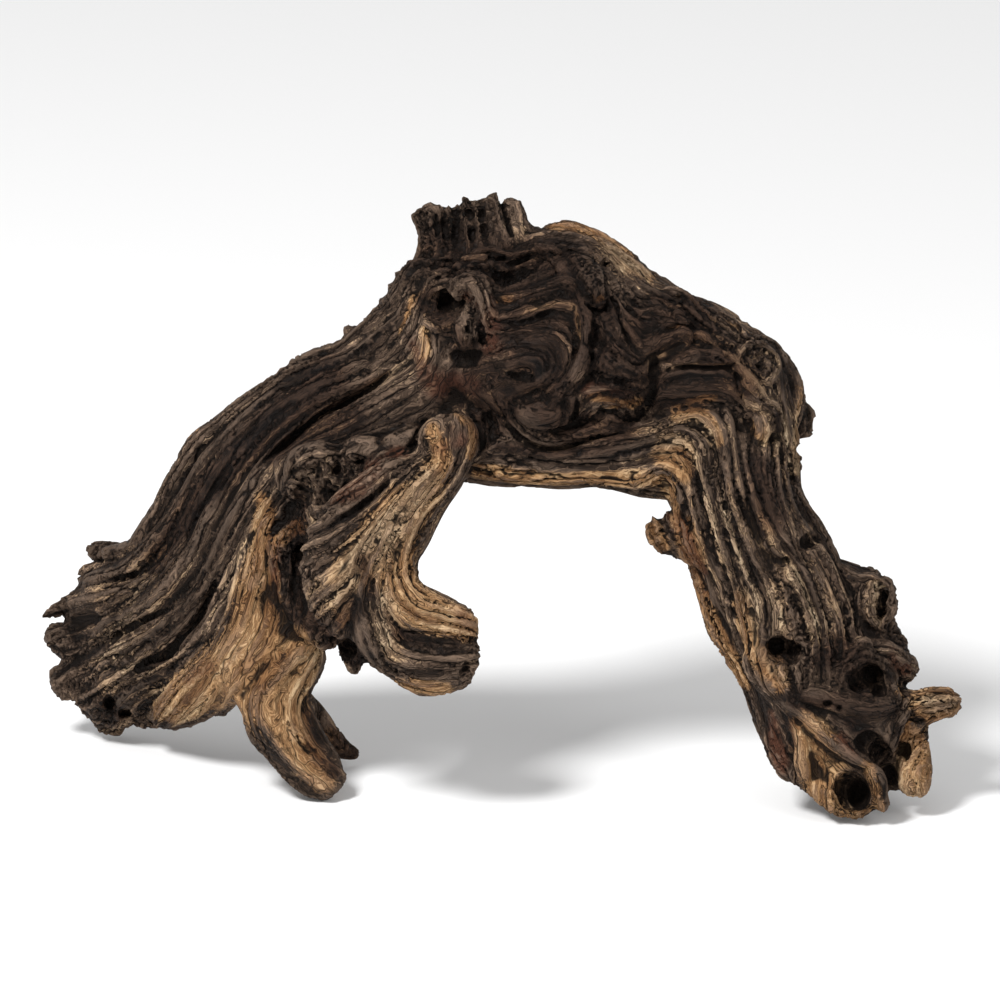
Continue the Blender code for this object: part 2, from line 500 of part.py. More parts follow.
def applied(item):
    """Replace the object's mesh by its evaluated one, and drop its modifiers."""
    bpy.context.view_layer.update()
    mesh = bpy.data.meshes.new_from_object(item.evaluated_get(bpy.context.evaluated_depsgraph_get()))
    old = item.data
    item.modifiers.clear()
    item.data = mesh
    bpy.data.meshes.remove(old)
    return item


def remesh(item, voxel, smoothing):
    grow = item.modifiers.new("Voxels", "REMESH")
    grow.mode = "VOXEL"
    grow.voxel_size = voxel
    soften = item.modifiers.new("Soften", "SMOOTH")
    soften.factor = 0.5
    soften.iterations = smoothing
    return applied(item)


def limb_meshes():
    meshes = []
    for name, (flatness, points) in LIMBS.items():
        line = smooth_line(points)
        line[:, 2] /= flatness
        ends = np.column_stack([line[:, :3], line[:, 3]])
        meshes.append(tube_mesh(name, [rounded_ends(ends)], picture_matrix(flatness)))
    return meshes


def rounded_ends(line):
    """A limb's points and radii with a round cap added at each end."""
    points, radii = line[:, :3], line[:, 3]
    first = dome(points[0], points[0] - points[1], radii[0])
    last = dome(points[-1], points[-1] - points[-2], radii[-1])
    points = np.vstack([first[0][::-1], points, last[0]])
    return points, np.concatenate([first[1][::-1], radii, last[1]])


def dome(centre, outward, radius):
    """Points and radii of a low dome past the end of a limb."""
    outward = outward / np.linalg.norm(outward)
    angles = np.radians(DOME_ANGLES)
    centres = centre + np.outer(np.sin(angles) * radius * DOME_REACH, outward)
    return centres, radius * np.cos(angles)


def cut_meshes(samples):
    """Tubes along the cracks, and blunt pegs in the round holes."""
    strands = []
    for radius, below, points in CUTS.values():
        line = smooth_line(points, STRAND_STEP)
        laid = lay_on(samples, line, 1.0, 0.0, -1)
        laid[:, 2] += below
        strands.append((laid, tapered(radius, len(line))))
    meshes = [tube_mesh("Cracks", strands, picture_matrix())]
    for x, y, radius, stretch, depth in HOLES:
        front = surface_depth(samples, np.array([float(x)]), np.array([float(y)]), -1)[0]
        away = front + np.concatenate([[-radius], depth * np.array(PEG_DEPTHS)])
        points = np.column_stack([np.full(len(away), x), np.full(len(away), y), away])
        peg = tube_mesh("Hole", [(points, radius * np.array((PEG_MOUTH,) + PEG_RADII))], Matrix.Identity(4))
        middle = Matrix.Translation((x - PICTURE_MIDDLE, 0.0, PICTURE_FLOOR - y))
        taller = Matrix.Diagonal((1.0, 1.0, stretch, 1.0))
        peg.transform(picture_matrix() @ middle @ taller @ middle.inverted())
        meshes.append(peg)
    return meshes


def strand_table(strands):
    """All strand points in metres, their radii, and the direction of the strand at each."""
    turn = np.array(picture_matrix())[:3, :3]
    lines = [to_local(points) @ turn.T for points, _ in strands]
    ways = np.concatenate([np.gradient(line, axis=0) for line in lines])
    radii = np.concatenate([radius for _, radius in strands]) * UNIT
    return np.concatenate(lines), radii, ways / np.linalg.norm(ways, axis=1)[:, None]


def beyond_strands(points, strands):
    """How far each point lies outside its nearest strand, as a share of the strand's radius."""
    centres, radii, ways = strand_table(strands)
    tree = KDTree(len(centres))
    for index, centre in enumerate(centres):
        tree.insert(centre, index)
    tree.balance()
    nearest = np.empty(len(points), int)
    for index, point in enumerate(points):
        found = tree.find_n(point, NEAR_POINTS)
        nearest[index] = min(found, key=lambda hit: hit[2] - radii[hit[1]])[1]
    offset = points - centres[nearest]
    way = ways[nearest]
    offset -= np.sum(offset * way, axis=1)[:, None] * way
    return np.linalg.norm(offset, axis=1) / radii[nearest] - 1.0


def displace(item, strands):
    """Low lumps raised on the whole surface, and the creases between the strands sunk deeper."""
    mesh = item.data
    count = len(mesh.vertices)
    points = np.empty(count * 3)
    normals = np.empty(count * 3)
    mesh.vertices.foreach_get("co", points)
    mesh.vertex_normals.foreach_get("vector", normals)
    points = points.reshape(-1, 3)
    normals = normals.reshape(-1, 3)
    lumps = np.array([noise.noise(point) for point in points / LUMP_SIZE])
    height = LUMP_DEPTH * lumps - CREASE_DEPTH * np.clip(beyond_strands(points, strands), 0.0, 0.5)
    moved = points + normals * height[:, None]
    mesh.vertices.foreach_set("co", moved.ravel())
    mesh.update()


def keep_largest(item):
    """Drop loose scraps, so that one body is left."""
    whole = bmesh.new()
    whole.from_mesh(item.data)
    unseen = set(whole.verts)
    largest = set()
    while unseen:
        piece = {unseen.pop()}
        edge = list(piece)
        while edge:
            step = [other.other_vert(vert) for vert in edge for other in vert.link_edges]
            edge = [vert for vert in set(step) if vert in unseen]
            unseen.difference_update(edge)
            piece.update(edge)
        if len(piece) > len(largest):
            largest = piece
    bmesh.ops.delete(whole, geom=[vert for vert in whole.verts if vert not in largest], context="VERTS")
    whole.to_mesh(item.data)
    whole.free()


def stand_on_floor(item):
    """Flatten the feet's lowest skin to height zero, and centre the wood's box over the origin."""
    mesh = item.data
    points = np.empty(len(mesh.vertices) * 3)
    mesh.vertices.foreach_get("co", points)
    points = points.reshape(-1, 3)
    points[:, 2] = np.where(points[:, 2] < FLAT_DEPTH, 0.0, points[:, 2])
    centre = (points.min(axis=0) + points.max(axis=0)) / 2.0
    points -= (centre[0], centre[1], 0.0)
    mesh.vertices.foreach_set("co", points.ravel())
    mesh.update()


def wood_material():
    material = bpy.data.materials.new("Weathered mopani wood")
    material.use_nodes = True
    shader = material.node_tree.nodes["Principled BSDF"]
    shader.inputs["Base Color"].default_value = BARK_BROWN
    shader.inputs["Roughness"].default_value = 0.75
    shader.inputs["Metallic"].default_value = 0.0
    material.diffuse_color = BARK_BROWN
    return material


def build_driftwood():
    collection = bpy.data.collections.new("Mopani driftwood")
    bpy.context.scene.collection.children.link(collection)
    cutters = bpy.data.collections.new("Cutters")
    bpy.context.scene.collection.children.link(cutters)
    rng = np.random.default_rng(SEED)
    samples = limb_samples()
    strands = flow_strands(rng) + wrap_strands(rng) + fold_strands(samples) + comb_strands()
    wood = joined_object(
        "driftwood", limb_meshes() + [tube_mesh("Strands", strands, picture_matrix())], collection)
    remesh(wood, VOXEL, 0)
    hollows = joined_object("Hollows", cut_meshes(samples), cutters)
    hollows.hide_render = True
    hollows.display_type = "WIRE"
    remesh(hollows, VOXEL, 0)
    # Both bodies are closed voxel meshes of some 100,000 triangles, where EXACT is slow
    carve = wood.modifiers.new("Carve", "BOOLEAN")
    carve.operation = "DIFFERENCE"
    carve.solver = "MANIFOLD"
    carve.object = hollows
    applied(wood)
    bpy.data.objects.remove(hollows, do_unlink=True)
    remesh(wood, VOXEL, 1)
    keep_largest(wood)
    displace(wood, strands)
    stand_on_floor(wood)
    fewer = wood.modifiers.new("Fewer", "DECIMATE")
    fewer.ratio = min(1.0, TRIANGLES / sum(len(face.vertices) - 2 for face in wood.data.polygons))
    applied(wood)
    stand_on_floor(wood)
    wood.data.materials.clear()
    wood.data.materials.append(wood_material())
    wood.data.shade_smooth()
    return wood


clear_scene()
build_driftwood()
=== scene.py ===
"""Visual model of the mopani driftwood: a finer body than the solid, with a grained wood material.

The wood is drawn in the photo's plane. Points are (x to the right, y down, depth away from the viewer)
in pixels of a 1000 x 1000 picture, and LENGTH gives them their real size.
"""

import math

import bmesh
import bpy
import numpy as np
from mathutils import Matrix, Vector, noise
from mathutils.bvhtree import BVHTree
from mathutils.kdtree import KDTree


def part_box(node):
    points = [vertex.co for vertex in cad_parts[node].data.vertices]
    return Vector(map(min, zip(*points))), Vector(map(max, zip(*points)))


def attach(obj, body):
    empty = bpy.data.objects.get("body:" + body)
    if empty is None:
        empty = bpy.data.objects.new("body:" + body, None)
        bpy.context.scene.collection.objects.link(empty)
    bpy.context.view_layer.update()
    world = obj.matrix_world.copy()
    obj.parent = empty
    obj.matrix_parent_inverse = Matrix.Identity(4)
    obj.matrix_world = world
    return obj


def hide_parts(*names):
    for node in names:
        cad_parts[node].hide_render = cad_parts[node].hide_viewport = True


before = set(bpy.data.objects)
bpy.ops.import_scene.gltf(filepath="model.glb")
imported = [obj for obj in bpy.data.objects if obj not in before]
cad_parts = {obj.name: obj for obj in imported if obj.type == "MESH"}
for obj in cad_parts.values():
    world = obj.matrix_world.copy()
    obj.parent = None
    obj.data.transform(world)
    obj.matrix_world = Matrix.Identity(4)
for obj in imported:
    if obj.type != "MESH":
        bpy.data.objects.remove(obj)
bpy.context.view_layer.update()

# Sizes of the wood and of the remesh, in metres, and the number of triangles kept
LENGTH = 0.352
VIEW_HEIGHT_ANGLE = math.radians(18.0)
VOXEL = 0.0008
BODY_VOXEL = 0.0010
BODY_SMOOTHING = 8
TRIANGLES = 190000
BOX_LOW, BOX_HIGH = (np.array(corner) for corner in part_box("driftwood"))
BOX_MIDDLE = (BOX_LOW + BOX_HIGH) / 2.0
MERGE_DISTANCE = 1e-6

# The picture plane: the columns of the wood's two ends and the row where the floor meets the front foot
PICTURE_SIZE = 1000.0
PICTURE_LEFT = 34.0
PICTURE_RIGHT = 960.0
PICTURE_MIDDLE = 497.0
PICTURE_FLOOR = 817.0
UNIT = LENGTH / (PICTURE_RIGHT - PICTURE_LEFT)

# The two sides that strands, cracks and colour strokes lie on
FRONT = -1
BACK = 1

# Steps along limbs and strands, and the curve's points between two given ones
LIMB_STEP = 4.0
STRAND_STEP = 3.0
CURVE_POINTS = 12
FEWEST_POINTS = 4

# Strands: how far they wander, how their radius varies, and how far their ends dive under the surface
SEED = 7
WANDER = 2.0
TURN_WANDER = 0.15
RADIUS_SPREAD = (0.75, 1.25)
RADIUS_WAVE = 0.18
FLOW_SINK = (0.2, 0.7)
FOLD_HEIGHT = 0.6
FOLD_STRANDS = 3
WRAP_SINK = (0.2, 0.7)
END_SINK = 0.7
END_SINK_REACH = 0.2
NEAR_POINTS = 5

# Tapers: the share of the radius at both ends, and the share of the length over which it grows
FLOW_TAPER = (0.6, 0.1)
WRAP_TAPER = (0.5, 0.15)
FOLD_TAPER = (0.3, 0.3)
CRACK_TAPER = (0.3, 0.4)

# Round ends of limbs: how long the dome is, and the angles of its rings
DOME_REACH = 0.3
DOME_ANGLES = (25.0, 50.0, 72.0)

# Pegs that cut the holes and nicks: radius at each share of the depth, the mouth's radius, half the length
PEG_RADII = (1.0, 0.85, 0.55, 0.2)
PEG_DEPTHS = (0.0, 0.5, 0.85, 1.0)
PEG_MOUTH = 1.15
NICK_REACH = 60.0
NICK_POINTS = 9

# Cracks: each layer's share of the width and of the depth, and where the rays that place them start
CRACK_LAYERS = ((1.0, 0.0), (0.85, 0.35), (0.6, 0.7), (0.35, 1.0))
CRACK_REACH = 0.4
RAY_START = 400.0

# Relief of the surface, in metres: lumps, creases between strands, ridges and furrows along them, chips
LUMP_DEPTH = 0.0011
LUMP_SIZE = 0.018
CREASE_DEPTH = 0.0010
CREASE_LIMIT = 0.5
RIDGE_SPACING = 0.0040
RIDGE_DEPTH = 0.0013
FURROW_SPACING = 0.0021
FURROW_DEPTH = 0.0008
FURROW_SHIFT = 7.3
GROOVE_WIDTH = 0.4
GROWTH = 0.0008

# Where the relief is stronger or weaker: size and shift of the noise, its mean and swing, and the part that
# smooth strokes take away; and how chips mix from a level part, a grooved part and a plain one
CALM_SIZE = 0.030
CALM_SHIFT = 5.2
CALM_MEAN = 0.9
CALM_SWING = 0.9
SMOOTHED_PART = 0.75
STROKE_GAIN = 2.0
STROKE_REACH = 1.6
CHIP_DEPTH = 0.0010
CHIP_LEVEL, CHIP_GROOVE, CHIP_PLAIN = 0.4, 0.8, 0.3

# Tracing along the grain: the step, how many steps for long streaks and for short chips
TRACE_STEP = 0.0008
LONG_STEPS = 38
SHORT_STEPS = 3
NEIGHBOURS = 5
WAY_ROUNDS = 6

# Cavity values for the colour: rounds of smoothing, and the depth below the smoothed surface that counts as 1
# The cavity values place painted shade in creases and hollows, and a painted highlight on convex crests
CAVITIES = {"crease": (4, 0.0006), "hollow": (40, 0.0025)}

# Colours of the wood: stops of (tone, colour) for bark, heartwood and bleached wood, then the single ones
BARK = ((0.36, (0.006, 0.003, 0.002)), (0.47, (0.032, 0.019, 0.012)),
        (0.58, (0.088, 0.057, 0.039)), (0.76, (0.270, 0.202, 0.150)))
HEART = ((0.34, (0.070, 0.028, 0.010)), (0.46, (0.200, 0.098, 0.040)),
         (0.57, (0.360, 0.205, 0.095)), (0.74, (0.640, 0.450, 0.260)))
ASH = ((0.36, (0.040, 0.028, 0.018)), (0.47, (0.170, 0.125, 0.080)),
       (0.58, (0.320, 0.250, 0.170)), (0.76, (0.560, 0.470, 0.345)))
RUST_COLOUR = (0.115, 0.040, 0.021, 1.0)
# Painted highlight on convex crests
CREST_HIGHLIGHT_COLOUR = (0.30, 0.205, 0.145, 1.0)
SHADE_COLOUR = (0.36, 0.30, 0.28, 1.0)
# Near black for the grain's grooves, hair lines and cracks: dark grain lines, partly painted shade in these
# fissures
GROOVE_COLOUR = (0.005, 0.003, 0.002, 1.0)
HAIR_COLOUR = (0.007, 0.004, 0.002, 1.0)
CRACK_COLOUR = (0.009, 0.005, 0.003, 1.0)
# Painted shade in creases and hollows
CAVITY_SHADE_COLOUR = (0.004, 0.002, 0.001, 1.0)

# The material's patterns: how often blotches, specks and fibres repeat in a metre, how fast the fibres
# change across the streaks, and the bump's depth in metres
BLOTCH_SCALE = 60.0
SPECK_SCALE = 900.0
FIBRE_SCALE = 35.0
FIBRE_PACE = 2.2
BUMP_DEPTH = 0.0008

# Camera, floor and light, in metres and watts: each light's place, size and power
CAMERA_DISTANCE = 8.0
SENSOR_WIDTH = 36.0
FLOOR_HALF = 6.0
PAPER_COLOUR = (0.86, 0.86, 0.86, 1.0)
PAPER_ROUGHNESS = 0.9
SKY_COLOUR = (1.0, 1.0, 1.0, 1.0)
SKY_STRENGTH = 0.62
LIGHT_AIM = (0.0, 0.0, 0.1)
LIGHTS = {
    "Key": ((-0.8, -0.9, 1.6), 0.5, 42.0),
    "Fill": ((1.2, -1.0, 0.9), 0.9, 6.0),
}


# Limbs: flatness in depth, then points of (x, y, depth, radius)
LIMBS = {
    "crown": (0.80, [(430, 285, -5, 48), (475, 325, -12, 78), (530, 352, -15, 86), (590, 352, -14, 82),
                     (650, 352, -8, 72), (710, 375, -2, 62), (748, 405, 2, 50)]),
    "crown_top": (0.85, [(516, 272, 2, 34), (550, 268, 0, 38), (578, 272, 0, 40), (612, 292, 0, 41),
                         (660, 322, 2, 36), (715, 352, 6, 38), (765, 392, 10, 34), (775, 430, 8, 24)]),
    "comb": (0.30, [(465, 282, 12, 50), (466, 256, 16, 49), (468, 236, 18, 43)]),
    "arch": (0.95, [(455, 430, -8, 48), (500, 440, -12, 43), (560, 443, -12, 41), (620, 444, -10, 41),
                    (670, 452, -8, 44), (700, 440, -6, 52)]),
    "left_high": (0.62, [(430, 300, -5, 46), (385, 362, 4, 42), (330, 405, 26, 40), (270, 445, 62, 44),
                         (215, 505, 108, 46), (160, 570, 155, 46), (112, 612, 192, 42), (84, 632, 212, 30)]),
    "left_low": (0.62, [(435, 385, -12, 50), (370, 430, 0, 48), (310, 475, 30, 48), (258, 530, 72, 50),
                        (212, 590, 118, 54), (165, 645, 162, 50), (125, 686, 198, 40), (106, 704, 216, 32)]),
    "left_under": (0.60, [(300, 520, 40, 44), (255, 590, 86, 48), (215, 650, 130, 44), (178, 690, 172, 34),
                          (150, 710, 200, 20), (136, 720, 210, 12)]),
    "mid_foot": (0.66, [(262, 545, 44, 17), (262, 590, 44, 28), (270, 635, 48, 48), (270, 672, 52, 46),
                        (277, 710, 50, 32), (297, 748, 48, 29), (318, 774, 46, 26), (332, 788, 44, 17)]),
    "web": (0.70, [(250, 615, 60, 34), (232, 655, 84, 40), (205, 682, 116, 36), (180, 702, 150, 28),
                   (160, 716, 178, 17)]),
    "mid_splinter": (0.8, [(262, 575, 26, 16), (266, 545, 20, 13), (266, 518, 16, 10), (262, 500, 18, 6)]),
    "mid_splinter_right": (0.8, [(272, 572, 22, 12), (284, 546, 8, 12), (294, 530, -2, 9),
                                 (303, 524, -6, 6)]),
    "mid_splinter_left": (0.8, [(254, 590, 38, 14), (250, 562, 34, 10), (250, 540, 34, 7),
                                (247, 524, 38, 4)]),
    "back_stub": (0.8, [(285, 700, 90, 24), (318, 730, 120, 16), (340, 749, 140, 11), (356, 756, 150, 7)]),
    "ear": (0.80, [(450, 440, -44, 26), (434, 474, -54, 26), (406, 510, -62, 31), (382, 550, -66, 33),
                   (384, 585, -66, 33), (402, 606, -70, 26), (432, 617, -74, 21), (458, 626, -72, 19)]),
    "ear_block": (0.80, [(380, 618, -56, 36), (398, 642, -54, 36), (424, 653, -54, 37), (450, 654, -52, 37),
                         (466, 656, -52, 34)]),
    "ear_left": (0.62, [(436, 460, -44, 24), (392, 492, -54, 32), (354, 530, -58, 36), (336, 572, -60, 34),
                        (340, 610, -60, 28), (346, 632, -58, 15)]),
    "ear_spike": (0.8, [(352, 640, -44, 16), (354, 662, -46, 11), (357, 674, -46, 5)]),
    "ear_head": (0.75, [(434, 452, -44, 20), (441, 438, -49, 21), (451, 437, -52, 24), (454, 448, -52, 24)]),
    "knobs": (0.75, [(290, 478, 6, 30), (330, 468, -10, 34), (380, 455, -24, 32), (425, 450, -34, 26)]),
    "ear_root": (0.9, [(330, 500, 10, 40), (350, 560, -10, 38), (365, 600, -30, 30)]),
    "right_leg": (0.88, [(690, 440, -6, 52), (728, 488, -4, 60), (758, 545, -2, 62), (785, 600, -2, 62),
                         (808, 652, -2, 62), (830, 700, -4, 66), (842, 735, -6, 64), (848, 762, -8, 46)]),
    "right_edge": (0.8, [(770, 400, 0, 26), (775, 450, 0, 24), (782, 500, 2, 24), (806, 545, 4, 22)]),
    "inner_stub": (0.85, [(720, 540, -8, 34), (698, 540, -14, 27), (676, 536, -18, 22), (660, 533, -20, 17)]),
    "side_stub": (0.85, [(832, 600, 8, 40), (858, 602, 2, 34), (876, 603, -4, 31), (882, 602, -6, 27)]),
    "side_lobe": (0.8, [(870, 640, 4, 34), (896, 664, 2, 24), (914, 668, 0, 13)]),
    "recess_back": (0.8, [(298, 560, 24, 26), (304, 600, 26, 27), (314, 622, 20, 20), (330, 638, 6, 13)]),
    "twig": (0.9, [(890, 712, 4, 26), (916, 708, 2, 18), (934, 705, 0, 17), (950, 703, -2, 15),
                   (956, 702, -3, 12)]),
    "right_toe": (0.8, [(906, 710, 2, 21), (914, 742, -2, 16), (916, 768, -6, 18), (913, 790, -8, 16)]),
    "slot_back": (0.8, [(884, 730, 14, 30), (888, 765, 18, 22), (892, 788, 18, 15)]),
    "middle_toe": (0.8, [(848, 760, -14, 42), (858, 794, -24, 27), (866, 808, -28, 18)]),
    "back_toe": (0.9, [(845, 725, 30, 50), (854, 755, 68, 36), (862, 776, 88, 24), (866, 783, 95, 16)]),
    "left_toe": (0.8, [(793, 726, -6, 30), (791, 752, -8, 24), (804, 766, -12, 22), (830, 784, -18, 23),
                       (848, 796, -24, 25)]),
    "back_flap": (0.8, [(785, 405, 26, 22), (802, 412, 30, 12), (815, 417, 32, 4)]),
    "back_flap_low": (0.8, [(788, 425, 28, 22), (803, 428, 30, 13), (812, 430, 32, 7)]),
    "top_knob": (0.9, [(378, 340, 10, 14), (362, 336, 8, 8), (352, 331, 8, 7), (345, 329, 8, 7)]),
    "left_tip": (0.9, [(128, 556, 186, 13), (106, 552, 192, 11), (92, 550, 196, 8), (86, 549, 198, 7)]),
    "left_flake": (0.7, [(130, 580, 184, 20), (105, 577, 194, 17), (88, 577, 200, 13), (82, 570, 202, 8)]),
    "left_prong": (0.8, [(110, 596, 190, 17), (84, 599, 200, 13), (62, 606, 208, 9), (44, 616, 212, 6),
                         (36, 620, 213, 4)]),
    "left_knob": (0.8, [(78, 640, 206, 22), (58, 640, 212, 17), (44, 632, 214, 9)]),
    "left_thumb": (0.7, [(112, 655, 204, 26), (82, 674, 214, 21), (62, 683, 218, 18), (54, 687, 219, 15)]),
    "left_heel": (0.7, [(104, 706, 222, 28), (106, 722, 226, 20), (107, 734, 228, 12)]),
    "top_lip": (0.8, [(552, 234, 0, 11), (566, 231, -2, 12), (584, 238, -2, 12), (604, 252, 0, 13),
                      (628, 268, 0, 15)]),
    "top_scrap": (0.8, [(548, 246, -2, 8), (538, 236, -4, 5)]),
}

# Comb of broken strands on the crown: points of (x, y, depth, radius)
COMB = [
    [(418, 212, 4, 8), (427, 230, 2, 9), (429, 252, -4, 11), (420, 282, -12, 12)],
    [(425, 206, 2, 8), (433, 226, 0, 10), (436, 252, -8, 11), (430, 282, -16, 12)],
    [(434, 208, 0, 7), (440, 228, -2, 8), (443, 255, -10, 10)],
    [(446, 201, 0, 3.5), (449, 220, -2, 6), (451, 255, -12, 8)],
    [(454, 200, 6, 3), (458, 220, 4, 5), (460, 255, -10, 8)],
    [(463, 198, -2, 5), (467, 220, -4, 7), (469, 258, -14, 9)],
    [(474, 202, 0, 7), (478, 225, -4, 9), (481, 258, -14, 10)],
    [(486, 199, 2, 7), (491, 225, -2, 9), (496, 256, -13, 10)],
    [(493, 195, 4, 5), (501, 222, 0, 9), (509, 250, -11, 11)],
    [(507, 200, 6, 6), (514, 222, 4, 8), (523, 248, -6, 10)],
    [(515, 202, 4, 6), (522, 224, 3, 7), (531, 246, -3, 9)],
    [(426, 210, 18, 9), (434, 235, 20, 12), (436, 262, 20, 13)],
    [(484, 205, 18, 9), (490, 235, 20, 12), (496, 262, 20, 13)],
    [(508, 206, 16, 8), (516, 235, 18, 10), (524, 258, 18, 11)],
]

# Groups of limbs that carry the same flows of grain
LEFT_LIMBS = ("crown", "crown_top", "left_high", "left_low", "left_under", "left_prong", "left_thumb",
              "left_heel", "left_flake")
CROWN_LIMBS = ("crown", "crown_top", "comb", "arch")
RIGHT_LIMBS = ("crown", "crown_top", "arch", "right_leg", "right_edge", "left_toe", "middle_toe")
EAR_LIMBS = ("ear", "ear_block", "ear_left", "ear_head")
FOOT_LIMBS = ("mid_foot", "web", "mid_splinter")
STUB_LIMBS = ("inner_stub", "right_leg")

